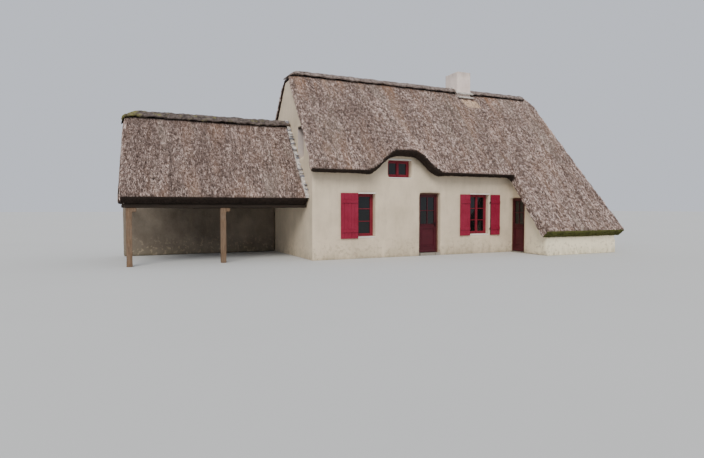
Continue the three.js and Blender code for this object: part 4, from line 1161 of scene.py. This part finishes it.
# Its solid and body, left and right side, how many boards, and where its pintles stand
SHUTTERS = (
    ("left_window_shutter", "left_shutter", -2.034, -1.434, 5, -1.42),
    ("right_window_left_shutter", "right_window_left_leaf", 2.541, 2.966, 4, 2.98),
    ("right_window_right_shutter", "right_window_right_leaf", 3.878, 4.303, 4, 3.864),
)
for node, body, x0, x1, count, axis in SHUTTERS:
    wide = (x1 - x0) / count
    wood = []
    for i in range(count):
        left = x0 + i * wide
        wood.append(solid_bar(
            "board", (left + 0.0008, SHUTTER_FACE, SHUTTER_LOW),
            (left + wide - 0.0008, SHUTTER_BACK, SHUTTER_TOP), 0.005, 1,
        ))
    for z in BATTENS:
        wood.append(solid_bar(
            "batten", (x0 + 0.01, SHUTTER_FACE - BATTEN_PROUD, z - BATTEN_HALF),
            (x1 - 0.01, SHUTTER_FACE + 0.002, z + BATTEN_HALF), 0.006,
        ))
    boarded = joined(node + "_boards", wood, SHUTTER_RED)
    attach(boarded, body)
    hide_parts(node)
    nails = joined(node + "_nails", [
        round_pin(8, 0.005, 0.004, (x0 + (i + 0.5) * wide, SHUTTER_FACE - BATTEN_PROUD - 0.0012, z + dz))
        for z in BATTENS for i in range(count) for dz in (-0.022, 0.022)
    ], IRON)
    edge, away = (x1, -1) if axis > x1 else (x0, 1)
    eyes = trimmed_copy(node + "_eyes", node, (edge, 0, 0), (away, 0, 0))
    use_modifier(eyes, "BEVEL", width=0.0015, segments=1, limit_method="ANGLE", angle_limit=math.radians(40))
    wear(eyes, IRON)
    for piece in (nails, eyes):
        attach(piece, body)
    pins = []
    for z in BATTENS:
        pins.append(round_pin(16, PINTLE_RADIUS, 0.0525, (axis, PINTLE_Y, z - 0.0027), lying=False))
        pins.append(solid_bar(
            "arm", (axis - PINTLE_RADIUS, PINTLE_Y - PINTLE_RADIUS, z - 0.0383),
            (axis + PINTLE_RADIUS, -1.66, z - 0.0203), 0.002,
        ))
    pintles = joined(node.replace("shutter", "pintles"), pins, IRON)
    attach(pintles, "root")

# STUDIO
# A plain pale floor without an edge, a wide soft sky and one broad lamp. The camera
# stands at eye height in front of the shed's left end, turned towards the house.
SUN_TILT, SUN_TURN, SUN_SPREAD, SUN_STRENGTH = 50, -30, 30, 2.4
EYE_SPOT, EYE_DOWN, EYE_TURN, LENS = (-8.620, -16.739, 1.65), 2.377, -24.89, 26.68
clear_selection()
bpy.ops.mesh.primitive_plane_add(size=400, location=(0, 0, 0))
ground = bpy.context.object
ground.name = "studio_floor"
FLOOR = new_finish("studio_floor", 0.9)
even = cloud(FLOOR, place_in(FLOOR), 6.0, 0.2, 0.8)
coat(FLOOR, mixed(FLOOR, even, paint(206, 206, 203), paint(202, 202, 199)))
wear(ground, FLOOR)

world = bpy.data.worlds.new("studio")
bpy.context.scene.world = world
world.use_nodes = True
sky = world.node_tree.nodes["Background"]
sky.inputs["Color"].default_value = (0.86, 0.9, 1.0, 1)
sky.inputs["Strength"].default_value = 0.8

clear_selection()
bpy.ops.object.light_add(type="SUN", rotation=(math.radians(SUN_TILT), 0, math.radians(SUN_TURN)))
lamp = bpy.context.object
lamp.data.energy = SUN_STRENGTH
lamp.data.angle = math.radians(SUN_SPREAD)
lamp.data.color = (1.0, 0.97, 0.92)

clear_selection()
bpy.ops.object.camera_add(
    location=EYE_SPOT, rotation=(math.radians(90 - EYE_DOWN), 0, math.radians(EYE_TURN)),
)
camera = bpy.context.object
camera.data.lens = LENS
camera.data.sensor_width = 36
camera.data.clip_end = 500
bpy.context.scene.camera = camera
